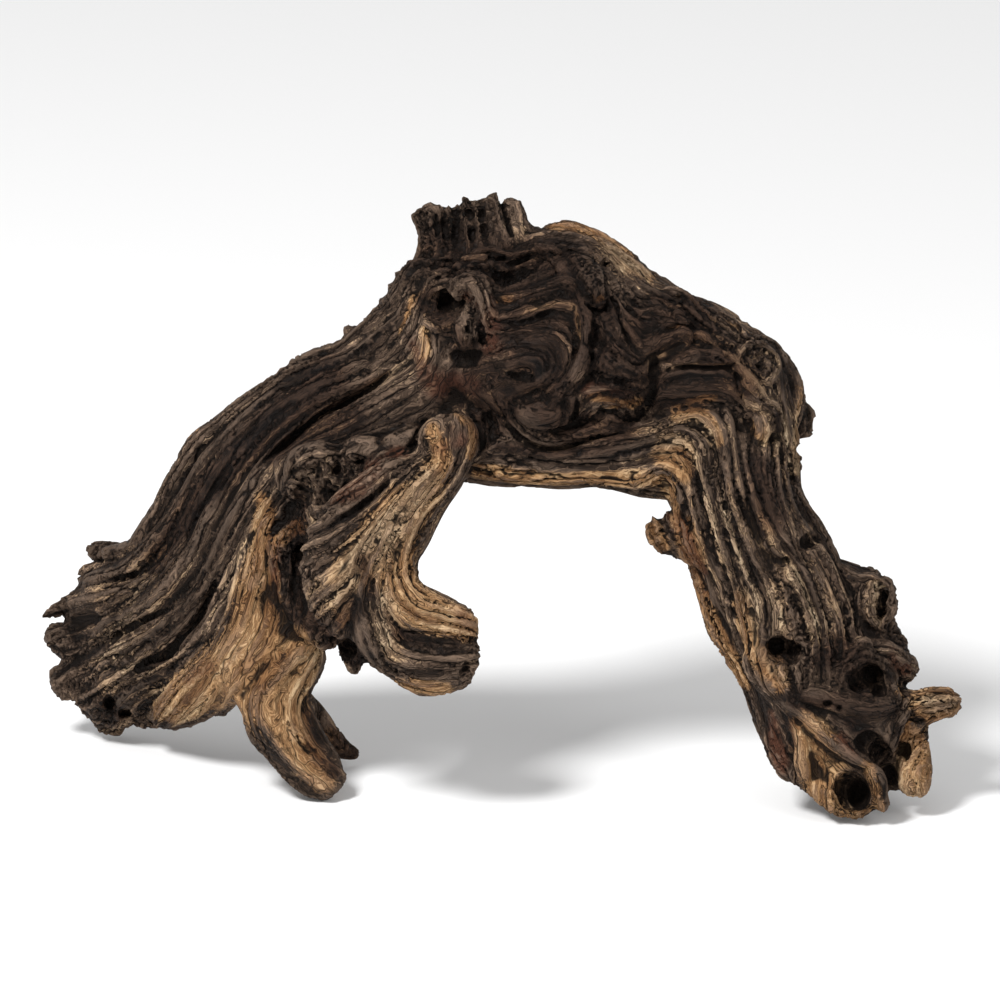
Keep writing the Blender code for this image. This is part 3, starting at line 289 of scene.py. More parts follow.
# Flows of grain: how many strands, their radius, the sides they lie on, the limbs that carry them,
# and guide lines of (x, y) from one edge of the flow to the other
FLOWS = {
    "left_upper": (5, 9.0, (FRONT, BACK), LEFT_LIMBS, [
        [(414, 262), (398, 298), (372, 326), (345, 350), (302, 367), (266, 392), (222, 422), (194, 446),
         (172, 482), (150, 522), (130, 548), (100, 556)],
        [(424, 285), (407, 325), (382, 350), (350, 368), (306, 386), (268, 412), (232, 448), (206, 488),
         (184, 532), (156, 572), (112, 596), (66, 606)],
        [(430, 310), (414, 348), (388, 368), (352, 386), (306, 405), (270, 433), (240, 468), (215, 512),
         (194, 556), (156, 600), (108, 632), (64, 660)]]),
    "left_lower": (8, 9.0, (FRONT, BACK), LEFT_LIMBS, [
        [(444, 330), (428, 362), (395, 384), (352, 410), (306, 433), (275, 462), (248, 498), (222, 542),
         (196, 588), (158, 626), (108, 656), (58, 684)],
        [(450, 355), (434, 388), (402, 410), (356, 432), (312, 456), (284, 486), (258, 526), (234, 570),
         (206, 614), (168, 652), (118, 682), (78, 706)],
        [(454, 380), (440, 408), (402, 424), (356, 438), (312, 466), (288, 500), (262, 545), (242, 592),
         (216, 634), (176, 668), (132, 692), (104, 726)],
        [(452, 398), (410, 418), (362, 442), (320, 480), (296, 520), (270, 565), (250, 612), (226, 652),
         (190, 676), (152, 690), (136, 706), (138, 726)]]),
    "shoulder": (9, 6.0, (FRONT,), RIGHT_LIMBS, [
        [(478, 474), (520, 480), (580, 478), (636, 480), (660, 470), (676, 484), (682, 515), (694, 550)],
        [(500, 458), (560, 464), (620, 463), (655, 453), (680, 456), (692, 482), (698, 515), (712, 550)],
        [(506, 446), (560, 453), (610, 450), (650, 440), (680, 430), (700, 444), (708, 478), (726, 540)],
        [(596, 440), (640, 438), (665, 426), (692, 416), (710, 426), (719, 452), (724, 494), (744, 540)],
        [(640, 430), (655, 414), (676, 406), (702, 404), (722, 414), (731, 442), (736, 484), (756, 540)]]),
    "right_leg": (12, 6.0, (FRONT, BACK), RIGHT_LIMBS, [
        [(672, 470), (680, 505), (688, 548), (704, 592), (718, 632), (738, 668), (754, 702), (768, 740)],
        [(694, 462), (702, 500), (714, 548), (730, 590), (736, 625), (746, 655), (770, 692), (782, 745)],
        [(716, 455), (724, 500), (742, 545), (762, 590), (768, 622), (764, 650), (776, 690), (806, 720)],
        [(735, 440), (744, 490), (764, 540), (788, 580), (800, 610), (808, 640), (806, 672), (800, 700)],
        [(765, 440), (772, 480), (784, 520), (806, 560), (826, 600), (836, 630), (840, 660), (842, 690)],
        [(788, 425), (792, 465), (798, 500), (816, 530), (834, 565), (846, 600), (856, 636), (866, 660)]]),
    "tongue": (4, 6.5, (FRONT,), RIGHT_LIMBS, [
        [(742, 430), (742, 470), (750, 505), (764, 535), (778, 553)],
        [(756, 446), (758, 480), (766, 510), (778, 535), (786, 552)],
        [(772, 440), (774, 480), (780, 510), (790, 535), (794, 548)]]),
    "ear": (8, 5.5, (FRONT, BACK), EAR_LIMBS, [
        [(472, 432), (470, 450), (462, 470), (450, 486), (430, 508), (414, 532), (407, 555), (410, 580),
         (428, 598), (450, 604), (470, 612)],
        [(464, 420), (462, 444), (454, 466), (440, 486), (420, 512), (403, 540), (397, 568), (401, 592),
         (420, 610), (448, 618), (474, 626)],
        [(452, 416), (450, 440), (446, 466), (430, 490), (408, 520), (390, 552), (386, 582), (394, 606),
         (414, 624), (444, 630), (476, 636)]]),
    "ear_folds": (7, 5.5, (FRONT, BACK), EAR_LIMBS, [
        [(446, 420), (444, 440), (442, 466), (424, 492), (400, 524), (384, 556), (382, 590), (392, 620),
         (404, 642)],
        [(438, 420), (434, 440), (438, 466), (412, 492), (388, 526), (370, 562), (368, 600), (376, 636),
         (388, 664)],
        [(430, 424), (427, 444), (434, 466), (406, 492), (378, 528), (358, 566), (354, 602), (364, 638),
         (372, 664)]]),
    "ear_block": (7, 5.0, (FRONT,), EAR_LIMBS, [
        [(398, 634), (420, 642), (448, 644), (478, 646)],
        [(394, 650), (420, 657), (448, 658), (478, 658)],
        [(390, 668), (416, 674), (446, 674), (474, 672)],
        [(396, 680), (420, 688), (446, 690), (466, 684)]]),
    "ear_fan": (9, 5.0, (FRONT, BACK), EAR_LIMBS, [
        [(428, 452), (402, 468), (376, 488), (350, 508), (326, 522), (306, 530)],
        [(432, 460), (408, 480), (380, 506), (354, 535), (328, 554), (303, 568)],
        [(436, 464), (412, 490), (388, 522), (362, 556), (338, 584), (314, 604)],
        [(438, 466), (416, 494), (394, 530), (372, 568), (352, 602), (336, 626)],
        [(440, 468), (418, 498), (398, 534), (380, 572), (364, 608), (354, 634)]]),
    "mid_foot": (6, 6.0, (FRONT, BACK), FOOT_LIMBS, [
        [(248, 545), (240, 590), (226, 630), (196, 668), (170, 696), (150, 724)],
        [(260, 540), (257, 590), (246, 634), (224, 670), (204, 696), (190, 714)],
        [(272, 560), (276, 600), (268, 636), (250, 668), (232, 692), (222, 716)]]),
    "mid_shin": (7, 6.0, (FRONT, BACK), FOOT_LIMBS, [
        [(296, 628), (270, 664), (248, 696), (252, 730), (280, 764), (322, 798)],
        [(312, 638), (290, 668), (268, 700), (276, 732), (300, 764), (332, 796)],
        [(322, 652), (312, 676), (296, 704), (300, 732), (318, 756), (342, 780)]]),
    "top_edge": (6, 6.0, (FRONT, BACK), CROWN_LIMBS, [
        [(552, 228), (580, 232), (604, 244), (628, 262), (648, 284), (672, 296), (704, 312), (734, 334),
         (760, 356), (782, 388), (790, 420)],
        [(558, 240), (584, 244), (606, 258), (626, 278), (642, 296), (664, 306), (696, 320), (722, 340),
         (750, 362), (772, 392), (780, 424)],
        [(564, 250), (590, 256), (606, 272), (622, 292), (640, 310), (656, 312), (676, 322), (706, 342),
         (738, 372), (760, 402), (770, 430)]]),
    "bowl": (8, 5.0, (FRONT,), CROWN_LIMBS, [
        [(482, 298), (500, 310), (520, 306), (545, 297), (572, 288)],
        [(486, 318), (506, 322), (526, 317), (550, 312), (574, 314)],
        [(488, 334), (510, 333), (540, 331), (562, 336), (575, 352), (568, 372)],
        [(490, 348), (512, 343), (540, 342), (558, 350), (564, 366), (552, 384)],
        [(496, 360), (515, 353), (535, 352), (547, 360), (548, 374), (535, 386), (516, 392)],
        [(506, 368), (522, 362), (533, 365), (534, 376), (522, 384)]]),
    "small_bowl": (7, 5.0, (FRONT,), CROWN_LIMBS, [
        [(606, 270), (618, 288), (634, 304), (654, 306)],
        [(604, 284), (616, 304), (634, 318), (656, 316)],
        [(608, 298), (624, 318), (640, 328), (660, 322)],
        [(614, 308), (626, 334), (642, 348), (660, 340)]]),
    "band": (6, 6.0, (FRONT,), CROWN_LIMBS, [
        [(652, 378), (668, 370), (700, 370), (738, 372)],
        [(650, 394), (664, 384), (700, 382), (740, 384)],
        [(645, 412), (660, 398), (695, 394), (724, 396), (738, 408)]]),
    "cheek": (4, 6.5, (FRONT,), CROWN_LIMBS, [
        [(424, 320), (422, 345), (410, 372), (396, 392)],
        [(434, 334), (437, 360), (428, 382), (410, 402)]]),
    "stub_face": (4, 5.0, (FRONT,), STUB_LIMBS, [
        [(654, 520), (658, 540), (672, 556)],
        [(672, 505), (680, 535), (696, 562)],
        [(690, 500), (698, 535), (712, 570)]]),
    "crown_edge": (5, 5.0, (FRONT,), RIGHT_LIMBS, [
        [(742, 334), (764, 352), (782, 376), (788, 402), (796, 440), (800, 478)],
        [(740, 342), (758, 352), (774, 374), (778, 402), (784, 440), (790, 482)]]),
    "crown_back": (9, 9.0, (BACK,), CROWN_LIMBS, [
        [(440, 240), (500, 262), (560, 256), (620, 284), (680, 318), (740, 366), (780, 420)],
        [(410, 300), (470, 310), (540, 300), (610, 330), (670, 362), (720, 410), (755, 460)],
        [(400, 360), (460, 372), (530, 350), (590, 380), (650, 410), (690, 450), (720, 490)],
        [(420, 420), (480, 432), (540, 430), (600, 445), (650, 462), (680, 480), (695, 510)]]),
}

# Strands wrapped round the sides of a limb: radius, and their angles from the front to the limb's right
WRAPS = {
    "right_leg": (8.0, (-125, -98, -72, 70, 96, 122)),
    "crown_top": (8.0, (-118, -90, -64)),
    "left_high": (8.0, (-115, -85, -60)),
    "left_low": (8.0, (70, 100)),
    "left_under": (7.0, (64, 92, 120)),
    "web": (6.0, (70, 100, 130)),
    "arch": (7.5, (70, 96, 122, 150)),
    "ear": (7.0, (-120, -90, -60, 60, 90, 120)),
    "mid_foot": (6.0, (-115, -85, 80, 110)),
    "twig": (4.5, (-120, -60, 0, 60, 120, 180)),
    "side_stub": (6.0, (-130, -90, -50, 90)),
}

# Single folds: radius, sink (part of the radius below the surface), points
FOLDS = {
    "eye_brow": (9, 0.5, [(424, 300), (432, 286), (446, 280), (458, 284)]),
    "eye_cheek": (9, 0.5, [(424, 318), (438, 326), (450, 326), (458, 318)]),
    "nose": (12, 0.1, [(458, 306), (458, 292), (468, 284), (480, 294), (486, 312), (490, 336)]),
    "nose_lobe": (14, 0.3, [(468, 312), (467, 328), (468, 344)]),
    "bowl_lip": (9, 0.1, [(500, 300), (524, 299), (548, 292), (568, 287), (573, 300)]),
    "skirt_1": (5, 0.0, [(404, 268), (422, 262), (440, 264), (456, 257)]),
    "skirt_2": (7, 0.1, [(452, 274), (466, 266), (482, 265), (492, 270)]),
    "skirt_3": (5, 0.0, [(408, 282), (426, 273), (442, 277), (456, 284)]),
    "skirt_4": (5, 0.0, [(468, 256), (488, 252), (510, 257), (530, 250)]),
    "skirt_5": (6, 0.1, [(520, 284), (540, 274), (556, 264), (562, 252)]),
    "skirt_6": (5, 0.0, [(536, 247), (552, 252), (568, 262)]),
    "skirt_7": (5, 0.0, [(500, 292), (520, 288), (540, 282), (556, 272)]),
    "rope": (10, 0.0, [(577, 292), (584, 314), (586, 342), (580, 364), (568, 382), (556, 394), (546, 402)]),
    "horn": (17, 0.2, [(572, 258), (584, 268), (594, 284), (600, 302)]),
    "horn_left": (11, 0.4, [(560, 256), (562, 272), (572, 284)]),
    "lump_top": (13, 0.2, [(602, 318), (610, 332), (618, 344)]),
    "lump": (27, 0.35, [(606, 356), (620, 366), (634, 374)]),
    "lump_tip": (13, 0.2, [(628, 380), (642, 382)]),
    "arc_high": (7, 0.2, [(574, 404), (584, 392), (602, 387), (622, 391), (640, 402)]),
    "arc_low": (7, 0.2, [(584, 418), (592, 405), (606, 401), (620, 405), (632, 414)]),
    "arc_heart": (7, 0.3, [(598, 420), (608, 413), (620, 419)]),
    "knot_lobe": (19, 0.35, [(520, 408), (542, 412), (560, 408)]),
    "knot_hook": (8, 0.2, [(564, 390), (573, 400), (571, 414), (560, 422)]),
    "knot_rim": (8, 0.3, [(508, 404), (512, 418), (530, 434), (554, 440), (580, 434), (606, 427),
                          (634, 424)]),
    "gnarl_1": (8, 0.2, [(660, 296), (672, 292), (688, 302), (700, 316), (716, 330)]),
    "gnarl_2": (6, 0.1, [(664, 312), (678, 308), (690, 318), (700, 332), (712, 342)]),
    "gnarl_3": (7, 0.2, [(654, 328), (668, 318), (682, 322), (692, 334)]),
    "gnarl_4": (8, 0.3, [(654, 348), (670, 336), (686, 336), (694, 346)]),
    "gnarl_5": (8, 0.2, [(700, 312), (718, 320), (734, 330), (746, 344)]),
    "gnarl_6": (10, 0.4, [(716, 338), (726, 340), (734, 346)]),
    "lip": (9, 0.0, [(664, 366), (682, 362), (696, 352), (710, 353), (720, 360), (736, 358)]),
    "swirl": (7, 0.2, [(746, 372), (748, 358), (760, 352), (772, 360), (773, 374), (762, 382), (750, 378)]),
    "swirl_heart": (6, 0.2, [(754, 366), (758, 360), (765, 364), (764, 372), (756, 373)]),
    "swirl_out": (7, 0.3, [(738, 392), (734, 368), (742, 348), (762, 342), (778, 356), (784, 380)]),
    "swirl_tail": (9, 0.2, [(744, 394), (756, 400), (768, 406), (778, 410)]),
    "lozenge": (10, 0.3, [(756, 414), (761, 426), (756, 442)]),
    "edge_flap": (7, 0.0, [(788, 370), (796, 382), (796, 402), (792, 424)]),
    "knob_1": (13, 0.1, [(300, 462), (316, 454), (334, 452)]),
    "knob_2": (10, 0.1, [(346, 452), (362, 446), (378, 450)]),
    "knob_3": (10, 0.1, [(288, 486), (302, 492), (316, 500)]),
    "knob_4": (9, 0.0, [(384, 448), (402, 440), (420, 430)]),
    "knob_5": (9, 0.0, [(326, 506), (346, 496), (366, 484), (388, 468), (410, 458)]),
    "knob_6": (8, 0.0, [(352, 480), (366, 468), (386, 456), (404, 448)]),
    "knob_7": (9, 0.2, [(314, 512), (336, 514), (358, 504)]),
    "stub_rim": (6, 0.0, [(650, 522), (653, 534), (660, 548)]),
    "knot_swell": (15, 0.4, [(752, 640), (758, 664), (774, 684), (792, 686)]),
    "knot_brow": (8, 0.3, [(764, 640), (778, 630), (796, 636), (806, 648)]),
    "foot_sheet": (9, 0.1, [(790, 696), (815, 694), (840, 702), (866, 708), (890, 704), (904, 700)]),
    "foot_flap": (8, 0.3, [(894, 722), (902, 708), (906, 700)]),
    "foot_ridge": (7, 0.0, [(764, 688), (785, 702), (806, 718), (830, 740), (850, 756), (868, 766)]),
    "foot_wall": (8, 0.0, [(868, 764), (878, 780), (880, 800), (884, 812)]),
    "foot_corner": (7, 0.3, [(788, 712), (799, 738), (801, 762), (806, 784)]),
    "head_rim": (5, 0.3, [(452, 417), (464, 420), (472, 433), (474, 450), (470, 460)]),
    "head_cap": (6, 0.4, [(426, 446), (429, 430), (438, 424), (444, 434), (450, 450), (455, 464)]),
    "gnarl_arch": (6, 0.0, [(284, 484), (290, 464), (304, 452), (320, 450), (330, 460), (332, 476)]),
    "gnarl_knot": (9, 0.1, [(312, 494), (316, 506), (320, 514)]),
    "stub_rim_left": (6, 0.2, [(870, 578), (864, 598), (868, 618), (880, 628)]),
    "stub_rim_right": (5, 0.1, [(874, 577), (888, 584), (892, 604), (887, 624)]),
    "boss": (12, 0.2, [(846, 656), (858, 648), (868, 654)]),
    "boss_right": (9, 0.2, [(872, 650), (890, 652), (906, 662)]),
    "hollow_brow": (8, 0.2, [(842, 690), (842, 672), (856, 660), (876, 662), (890, 676), (892, 692)]),
    "leg_fold": (8, 0.2, [(806, 560), (824, 596), (836, 626), (838, 650)]),
}

# Folds on the back, which the picture doesn't show
BACK_FOLDS = {
    "knot_ring": (8, 0.2, [(600, 300), (622, 312), (626, 336), (608, 352), (586, 346), (580, 322), (592, 304),
                           (606, 300)]),
    "knot_tail": (8, 0.2, [(626, 340), (650, 352), (680, 380), (706, 420)]),
    "knot_tail_left": (7, 0.2, [(580, 330), (550, 344), (510, 340), (470, 346)]),
    "stub": (14, 0.1, [(330, 392), (318, 404), (312, 418)]),
    "stub_rim": (7, 0.1, [(348, 386), (330, 376), (310, 386), (298, 406), (302, 426), (322, 436)]),
    "stub_tail": (7, 0.2, [(300, 424), (276, 456), (250, 500), (226, 550)]),
    "seam": (9, 0.1, [(520, 420), (480, 404), (440, 384), (400, 384), (362, 398)]),
    "leg_knot": (8, 0.2, [(752, 590), (768, 580), (784, 592), (784, 612), (768, 620), (754, 608),
                          (753, 592)]),
    "leg_tail": (7, 0.2, [(786, 610), (800, 640), (812, 680)]),
}

# Hollows cut back into the wood: radius, how deep its middle lies below the surface, points
CUTS = {
    "hollow_vertical": (9.0, 1, [(304, 536), (300, 560), (298, 590), (306, 616)]),
    "ear_end_notch": (5.0, 0, [(460, 680), (466, 670), (474, 658)]),
    "lobe_hollow": (12.0, 4, [(340, 640), (348, 648), (356, 652)]),
    "gnarl_dark": (9.0, 1, [(302, 480), (304, 496), (300, 508)]),
    "crown_hollow": (13.0, 3, [(492, 276), (508, 280), (526, 272), (540, 266)]),
    "knot_hollow": (15.0, 3, [(769, 643), (782, 650), (802, 656)]),
    "square_hollow": (8.0, 1, [(450, 353), (458, 358), (470, 358), (482, 354)]),
    "dark_pocket": (8.0, 1, [(484, 412), (490, 428), (486, 448)]),
    "dark_pocket_right": (5.0, 1, [(653, 352), (655, 372), (651, 394), (643, 416)]),
    "gnarl_pocket": (6.0, 1, [(690, 344), (704, 345), (716, 347)]),
    "tongue_end": (5.0, 2, [(764, 551), (778, 561), (792, 559)]),
    "tongue_hollow": (9.0, 2, [(800, 547), (808, 541), (820, 537)]),
    "foot_cavity": (12.0, 3, [(854, 738), (868, 743), (880, 752), (886, 766)]),
    "foot_cavity_deep": (11.0, 10, [(872, 746), (882, 756), (888, 772)]),
    "foot_slot": (10.0, 5, [(880, 742), (886, 764), (890, 790), (893, 806)]),
    "left_recess": (9.0, 0, [(58, 632), (76, 622), (98, 618)]),
}

# Narrow cracks: half the width, depth, points
CRACKS = {
    "long": (8.0, 26, [(254, 470), (280, 448), (300, 432), (318, 417), (336, 407), (355, 397), (374, 386),
                       (392, 370)]),
    "long_tail": (2.0, 8, [(392, 370), (404, 352), (412, 334)]),
    "side": (3.0, 11, [(252, 432), (232, 458), (214, 486), (198, 516), (184, 546), (160, 584)]),
    "side_high": (1.8, 6, [(300, 366), (270, 396), (250, 418), (228, 444), (208, 470), (190, 500)]),
    "fold_deep": (5.0, 15, [(222, 566), (208, 598), (196, 622), (180, 640), (164, 656), (144, 666),
                            (122, 678)]),
    "fold_mid": (3.0, 11, [(192, 588), (174, 606), (150, 617), (124, 630), (100, 652), (78, 664)]),
    "fold_low": (2.0, 8, [(164, 640), (140, 652), (114, 668), (94, 686)]),
    "fold_high": (2.8, 10, [(156, 558), (140, 573), (112, 580), (76, 588)]),
    "fold_high_2": (1.8, 7, [(150, 590), (124, 597), (96, 596), (70, 604)]),
    "fold_edge": (2.0, 7, [(236, 600), (222, 630), (196, 660), (170, 680), (150, 692), (140, 706)]),
    "fold_rise": (2.0, 7, [(262, 500), (240, 530), (224, 560), (214, 590)]),
    "fold_rise_2": (1.8, 6, [(300, 462), (274, 484), (250, 512), (228, 546)]),
    "ear": (2.6, 13, [(388, 536), (381, 562), (371, 590), (363, 612), (356, 634)]),
    "ear_high": (1.8, 6, [(404, 498), (396, 518), (388, 540)]),
    "tongue_edge": (2.2, 8, [(391, 580), (396, 604), (405, 626), (422, 638), (446, 641), (474, 641)]),
    "block_edge": (2.0, 8, [(402, 642), (398, 656), (394, 674)]),
    "block_line": (1.5, 5, [(404, 662), (430, 664), (460, 662)]),
    "ear_line": (1.5, 5, [(448, 470), (428, 494), (408, 524), (396, 556), (394, 584)]),
    "ear_line_low": (1.5, 5, [(400, 560), (402, 584), (416, 606), (444, 620), (470, 628)]),
    "fan_1": (1.6, 5, [(392, 486), (364, 508), (336, 524), (312, 532)]),
    "fan_2": (1.6, 5, [(400, 494), (372, 524), (346, 546), (316, 560)]),
    "fan_3": (1.6, 6, [(398, 508), (376, 540), (352, 570), (330, 590)]),
    "fan_4": (1.6, 6, [(384, 534), (364, 570), (346, 600), (336, 620)]),
    "gnarl_seam": (3.0, 10, [(330, 520), (352, 512), (376, 494), (396, 476), (414, 464)]),
    "gnarl_seam_high": (2.5, 8, [(330, 486), (350, 476), (370, 468), (392, 456)]),
    "head_gap": (3.0, 14, [(400, 452), (414, 440), (421, 427), (434, 416), (448, 411), (462, 411)]),
    "head_gap_right": (3.0, 12, [(462, 411), (474, 420), (481, 436), (481, 460)]),
    "head_seam": (1.4, 4, [(441, 423), (446, 433), (452, 448), (457, 465)]),
    "head_seam_left": (1.4, 4, [(431, 436), (438, 446), (446, 460)]),
    "head_seam_right": (1.3, 4, [(464, 430), (461, 444), (461, 462)]),
    "under_comb": (3.4, 12, [(520, 252), (500, 260), (476, 262), (452, 262), (424, 262)]),
    "skirt": (2.6, 9, [(410, 274), (430, 269), (450, 270), (470, 274), (488, 272)]),
    "skirt_right": (3.2, 12, [(530, 258), (546, 262), (556, 272), (566, 280)]),
    "nose_left": (3.2, 13, [(462, 290), (464, 302), (460, 312), (452, 322)]),
    "nose_right": (3.2, 12, [(480, 318), (482, 338), (490, 352)]),
    "bowl_top": (3.2, 12, [(496, 322), (520, 324), (545, 316), (566, 308)]),
    "bowl_low": (3.0, 8, [(500, 372), (520, 378), (545, 380)]),
    "square_line": (1.6, 6, [(448, 366), (466, 366), (490, 368)]),
    "square_side": (1.6, 6, [(492, 352), (496, 376), (494, 400)]),
    "crease_low": (4.2, 15, [(500, 404), (508, 424), (528, 444), (556, 449), (590, 440), (620, 434),
                             (648, 426)]),
    "crease_right": (4.0, 14, [(576, 394), (576, 412), (566, 428)]),
    "lump_crease": (3.2, 13, [(608, 286), (616, 306), (624, 332), (638, 350), (654, 360)]),
    "rope_crease": (3.2, 13, [(592, 306), (594, 330), (592, 356), (588, 382)]),
    "rope_crease_left": (3.0, 12, [(572, 296), (577, 318), (577, 344), (570, 362), (556, 380)]),
    "horn_shadow": (4.5, 16, [(584, 300), (592, 311), (604, 311), (610, 300)]),
    "lip_crease": (3.8, 14, [(654, 378), (668, 370), (690, 367), (716, 368), (744, 362)]),
    "gnarl_crease": (3.2, 12, [(656, 336), (672, 328), (690, 326), (706, 338)]),
    "gnarl_crease_high": (3.2, 12, [(668, 304), (686, 312), (700, 326), (722, 334)]),
    "shoulder_crease": (2.6, 10, [(644, 436), (660, 416), (684, 408), (712, 406), (728, 424), (736, 450)]),
    "shoulder_mid": (2.2, 8, [(652, 444), (672, 428), (696, 424), (710, 440), (713, 470), (712, 500)]),
    "leg_1": (2.6, 10, [(690, 444), (698, 470), (702, 504), (712, 534), (722, 562), (731, 594), (733, 624),
                       (740, 648), (754, 668)]),
    "leg_2": (2.4, 9, [(718, 432), (721, 470), (722, 500), (734, 530), (745, 562), (756, 592), (768, 612)]),
    "leg_3": (2.8, 11, [(732, 440), (734, 480), (746, 516), (762, 550), (778, 584), (790, 612), (800, 632)]),
    "tongue_left": (2.4, 9, [(748, 440), (746, 480), (750, 510), (762, 536), (774, 552)]),
    "tongue_right": (2.2, 8, [(782, 430), (784, 480), (788, 514), (798, 534)]),
    "leg_right": (1.8, 7, [(806, 560), (820, 592), (832, 624), (838, 648)]),
    "leg_right_2": (1.8, 7, [(820, 550), (830, 580), (841, 610), (847, 638)]),
    "leg_edge": (2.6, 10, [(795, 412), (792, 456), (795, 498), (807, 522), (822, 536)]),
    "leg_left": (1.6, 6, [(684, 500), (694, 540), (706, 580), (718, 612), (728, 644), (748, 676)]),
    "side_seam": (2.5, 9, [(850, 576), (846, 606), (856, 636), (872, 644)]),
    "foot_line": (2.0, 7, [(764, 696), (784, 710), (806, 728), (826, 748)]),
    "foot_corner": (1.8, 6, [(792, 712), (799, 738), (801, 762), (806, 784)]),
    "lobe_edge": (2.5, 10, [(900, 722), (899, 745), (897, 770), (899, 796)]),
    "slit_1": (3.0, 18, [(443, 200), (446, 226), (448, 250)]),
    "slit_2": (2.8, 18, [(453, 198), (455, 226), (456, 252)]),
    "slit_3": (3.0, 18, [(468, 198), (471, 226), (473, 254)]),
    "slit_4": (3.0, 16, [(480, 198), (484, 226), (487, 252)]),
    "slit_5": (3.8, 20, [(501, 194), (504, 210), (509, 226), (515, 246)]),
    "slit_6": (2.8, 14, [(434, 206), (437, 226), (438, 250)]),
    "mid_dark": (2.0, 6, [(304, 700), (302, 728), (316, 752), (334, 770)]),
    "mid_dark_2": (1.6, 5, [(292, 716), (298, 744), (318, 770), (330, 784)]),
    "sheet_1": (1.6, 6, [(812, 690), (836, 696), (858, 704), (884, 702)]),
    "sheet_2": (1.6, 5, [(800, 702), (824, 712), (848, 716), (876, 718)]),
    "lobe_1": (1.6, 6, [(912, 724), (918, 746), (920, 770), (914, 790)]),
    "lobe_2": (1.4, 5, [(926, 740), (928, 760), (924, 780)]),
    "front_1": (1.5, 5, [(812, 736), (818, 758), (822, 784), (826, 806)]),
    "front_2": (1.4, 5, [(826, 748), (830, 764), (832, 780)]),
    "crown_1": (3.2, 13, [(664, 300), (680, 306), (692, 318), (708, 330), (724, 336)]),
    "crown_2": (3.0, 12, [(700, 306), (720, 316), (736, 326), (748, 340)]),
    "crown_3": (3.0, 12, [(620, 300), (632, 314), (646, 322), (660, 316)]),
    "crown_4": (3.2, 12, [(612, 284), (628, 300), (642, 308), (658, 304)]),
    "crown_5": (3.0, 12, [(600, 262), (608, 276), (610, 296)]),
    "crown_6": (3.2, 12, [(540, 246), (556, 256), (570, 252), (584, 248)]),
    "crown_7": (3.0, 11, [(500, 268), (520, 262), (540, 254)]),
    "crown_8": (2.8, 11, [(420, 292), (436, 280), (452, 276), (470, 280)]),
    "gnarl_cut": (3.0, 11, [(712, 340), (726, 350), (742, 346)]),
    "gnarl_cut_low": (2.8, 10, [(716, 362), (734, 374), (750, 386)]),
    "gnarl_cut_high": (2.6, 10, [(660, 298), (672, 308), (668, 324)]),
    "gnarl_hook": (2.6, 10, [(680, 322), (694, 336), (688, 348), (670, 350)]),
    "lump_cut": (2.6, 10, [(604, 318), (596, 336), (604, 350)]),
    "lump_low": (3.0, 11, [(586, 384), (606, 380), (626, 384), (644, 392)]),
    "arc_cut": (2.2, 8, [(578, 412), (590, 398), (608, 394), (626, 398)]),
    "block_face": (2.4, 9, [(446, 372), (448, 390), (458, 404)]),
    "block_face_low": (2.2, 8, [(456, 384), (474, 386), (488, 382)]),
    "swirl_line": (2.6, 10, [(744, 372), (744, 356), (756, 348), (770, 354), (780, 368), (782, 386)]),
    "swirl_line_low": (2.6, 10, [(738, 366), (736, 384), (744, 402), (756, 416)]),
    "left_1": (2.6, 10, [(404, 292), (384, 330), (352, 356), (306, 378), (262, 410)]),
    "left_2": (2.6, 10, [(330, 384), (290, 412), (252, 446), (222, 486), (198, 536)]),
    "left_3": (1.8, 6, [(186, 470), (166, 508), (146, 540), (124, 562)]),
    "left_4": (2.6, 10, [(240, 560), (222, 596), (200, 632), (172, 656)]),
    "mid_line": (1.5, 5, [(306, 690), (292, 712), (300, 740), (326, 768)]),
    "mid_line_left": (1.4, 4, [(252, 560), (248, 600), (236, 636), (214, 668)]),
}

# Round holes of knots and rot: x, y, radius across, stretch upwards, depth
HOLES = [
    (447, 303, 10, 1.0, 22),
    (455, 306, 6, 1.0, 18),
    (467, 329, 3, 1.6, 9),
    (759, 368, 4, 1.0, 10),
    (808, 543, 8, 0.8, 16),
    (818, 540, 6, 0.9, 14),
    (884, 598, 8, 1.6, 20),
    (881, 612, 8, 1.1, 18),
    (776, 647, 11, 1.0, 30),
    (789, 653, 9, 0.9, 24),
    (856, 680, 13, 0.9, 20),
    (872, 674, 13, 1.1, 26),
    (878, 688, 10, 0.9, 22),
    (826, 703, 7, 0.6, 12),
    (838, 707, 4, 1.0, 10),
    (850, 792, 18, 1.25, 28),
    (857, 794, 12, 1.5, 40),
    (906, 751, 5, 2.0, 16),
    (360, 462, 7, 0.8, 14),
    (336, 470, 7, 1.0, 14),
    (414, 444, 5, 1.0, 10),
    (106, 706, 6, 1.6, 18),
    (122, 716, 8, 0.7, 22),
    (102, 724, 4, 0.7, 14),
    (466, 668, 6, 1.4, 10),
    (606, 264, 6, 0.8, 12),
    (592, 340, 4, 2.2, 10),
]


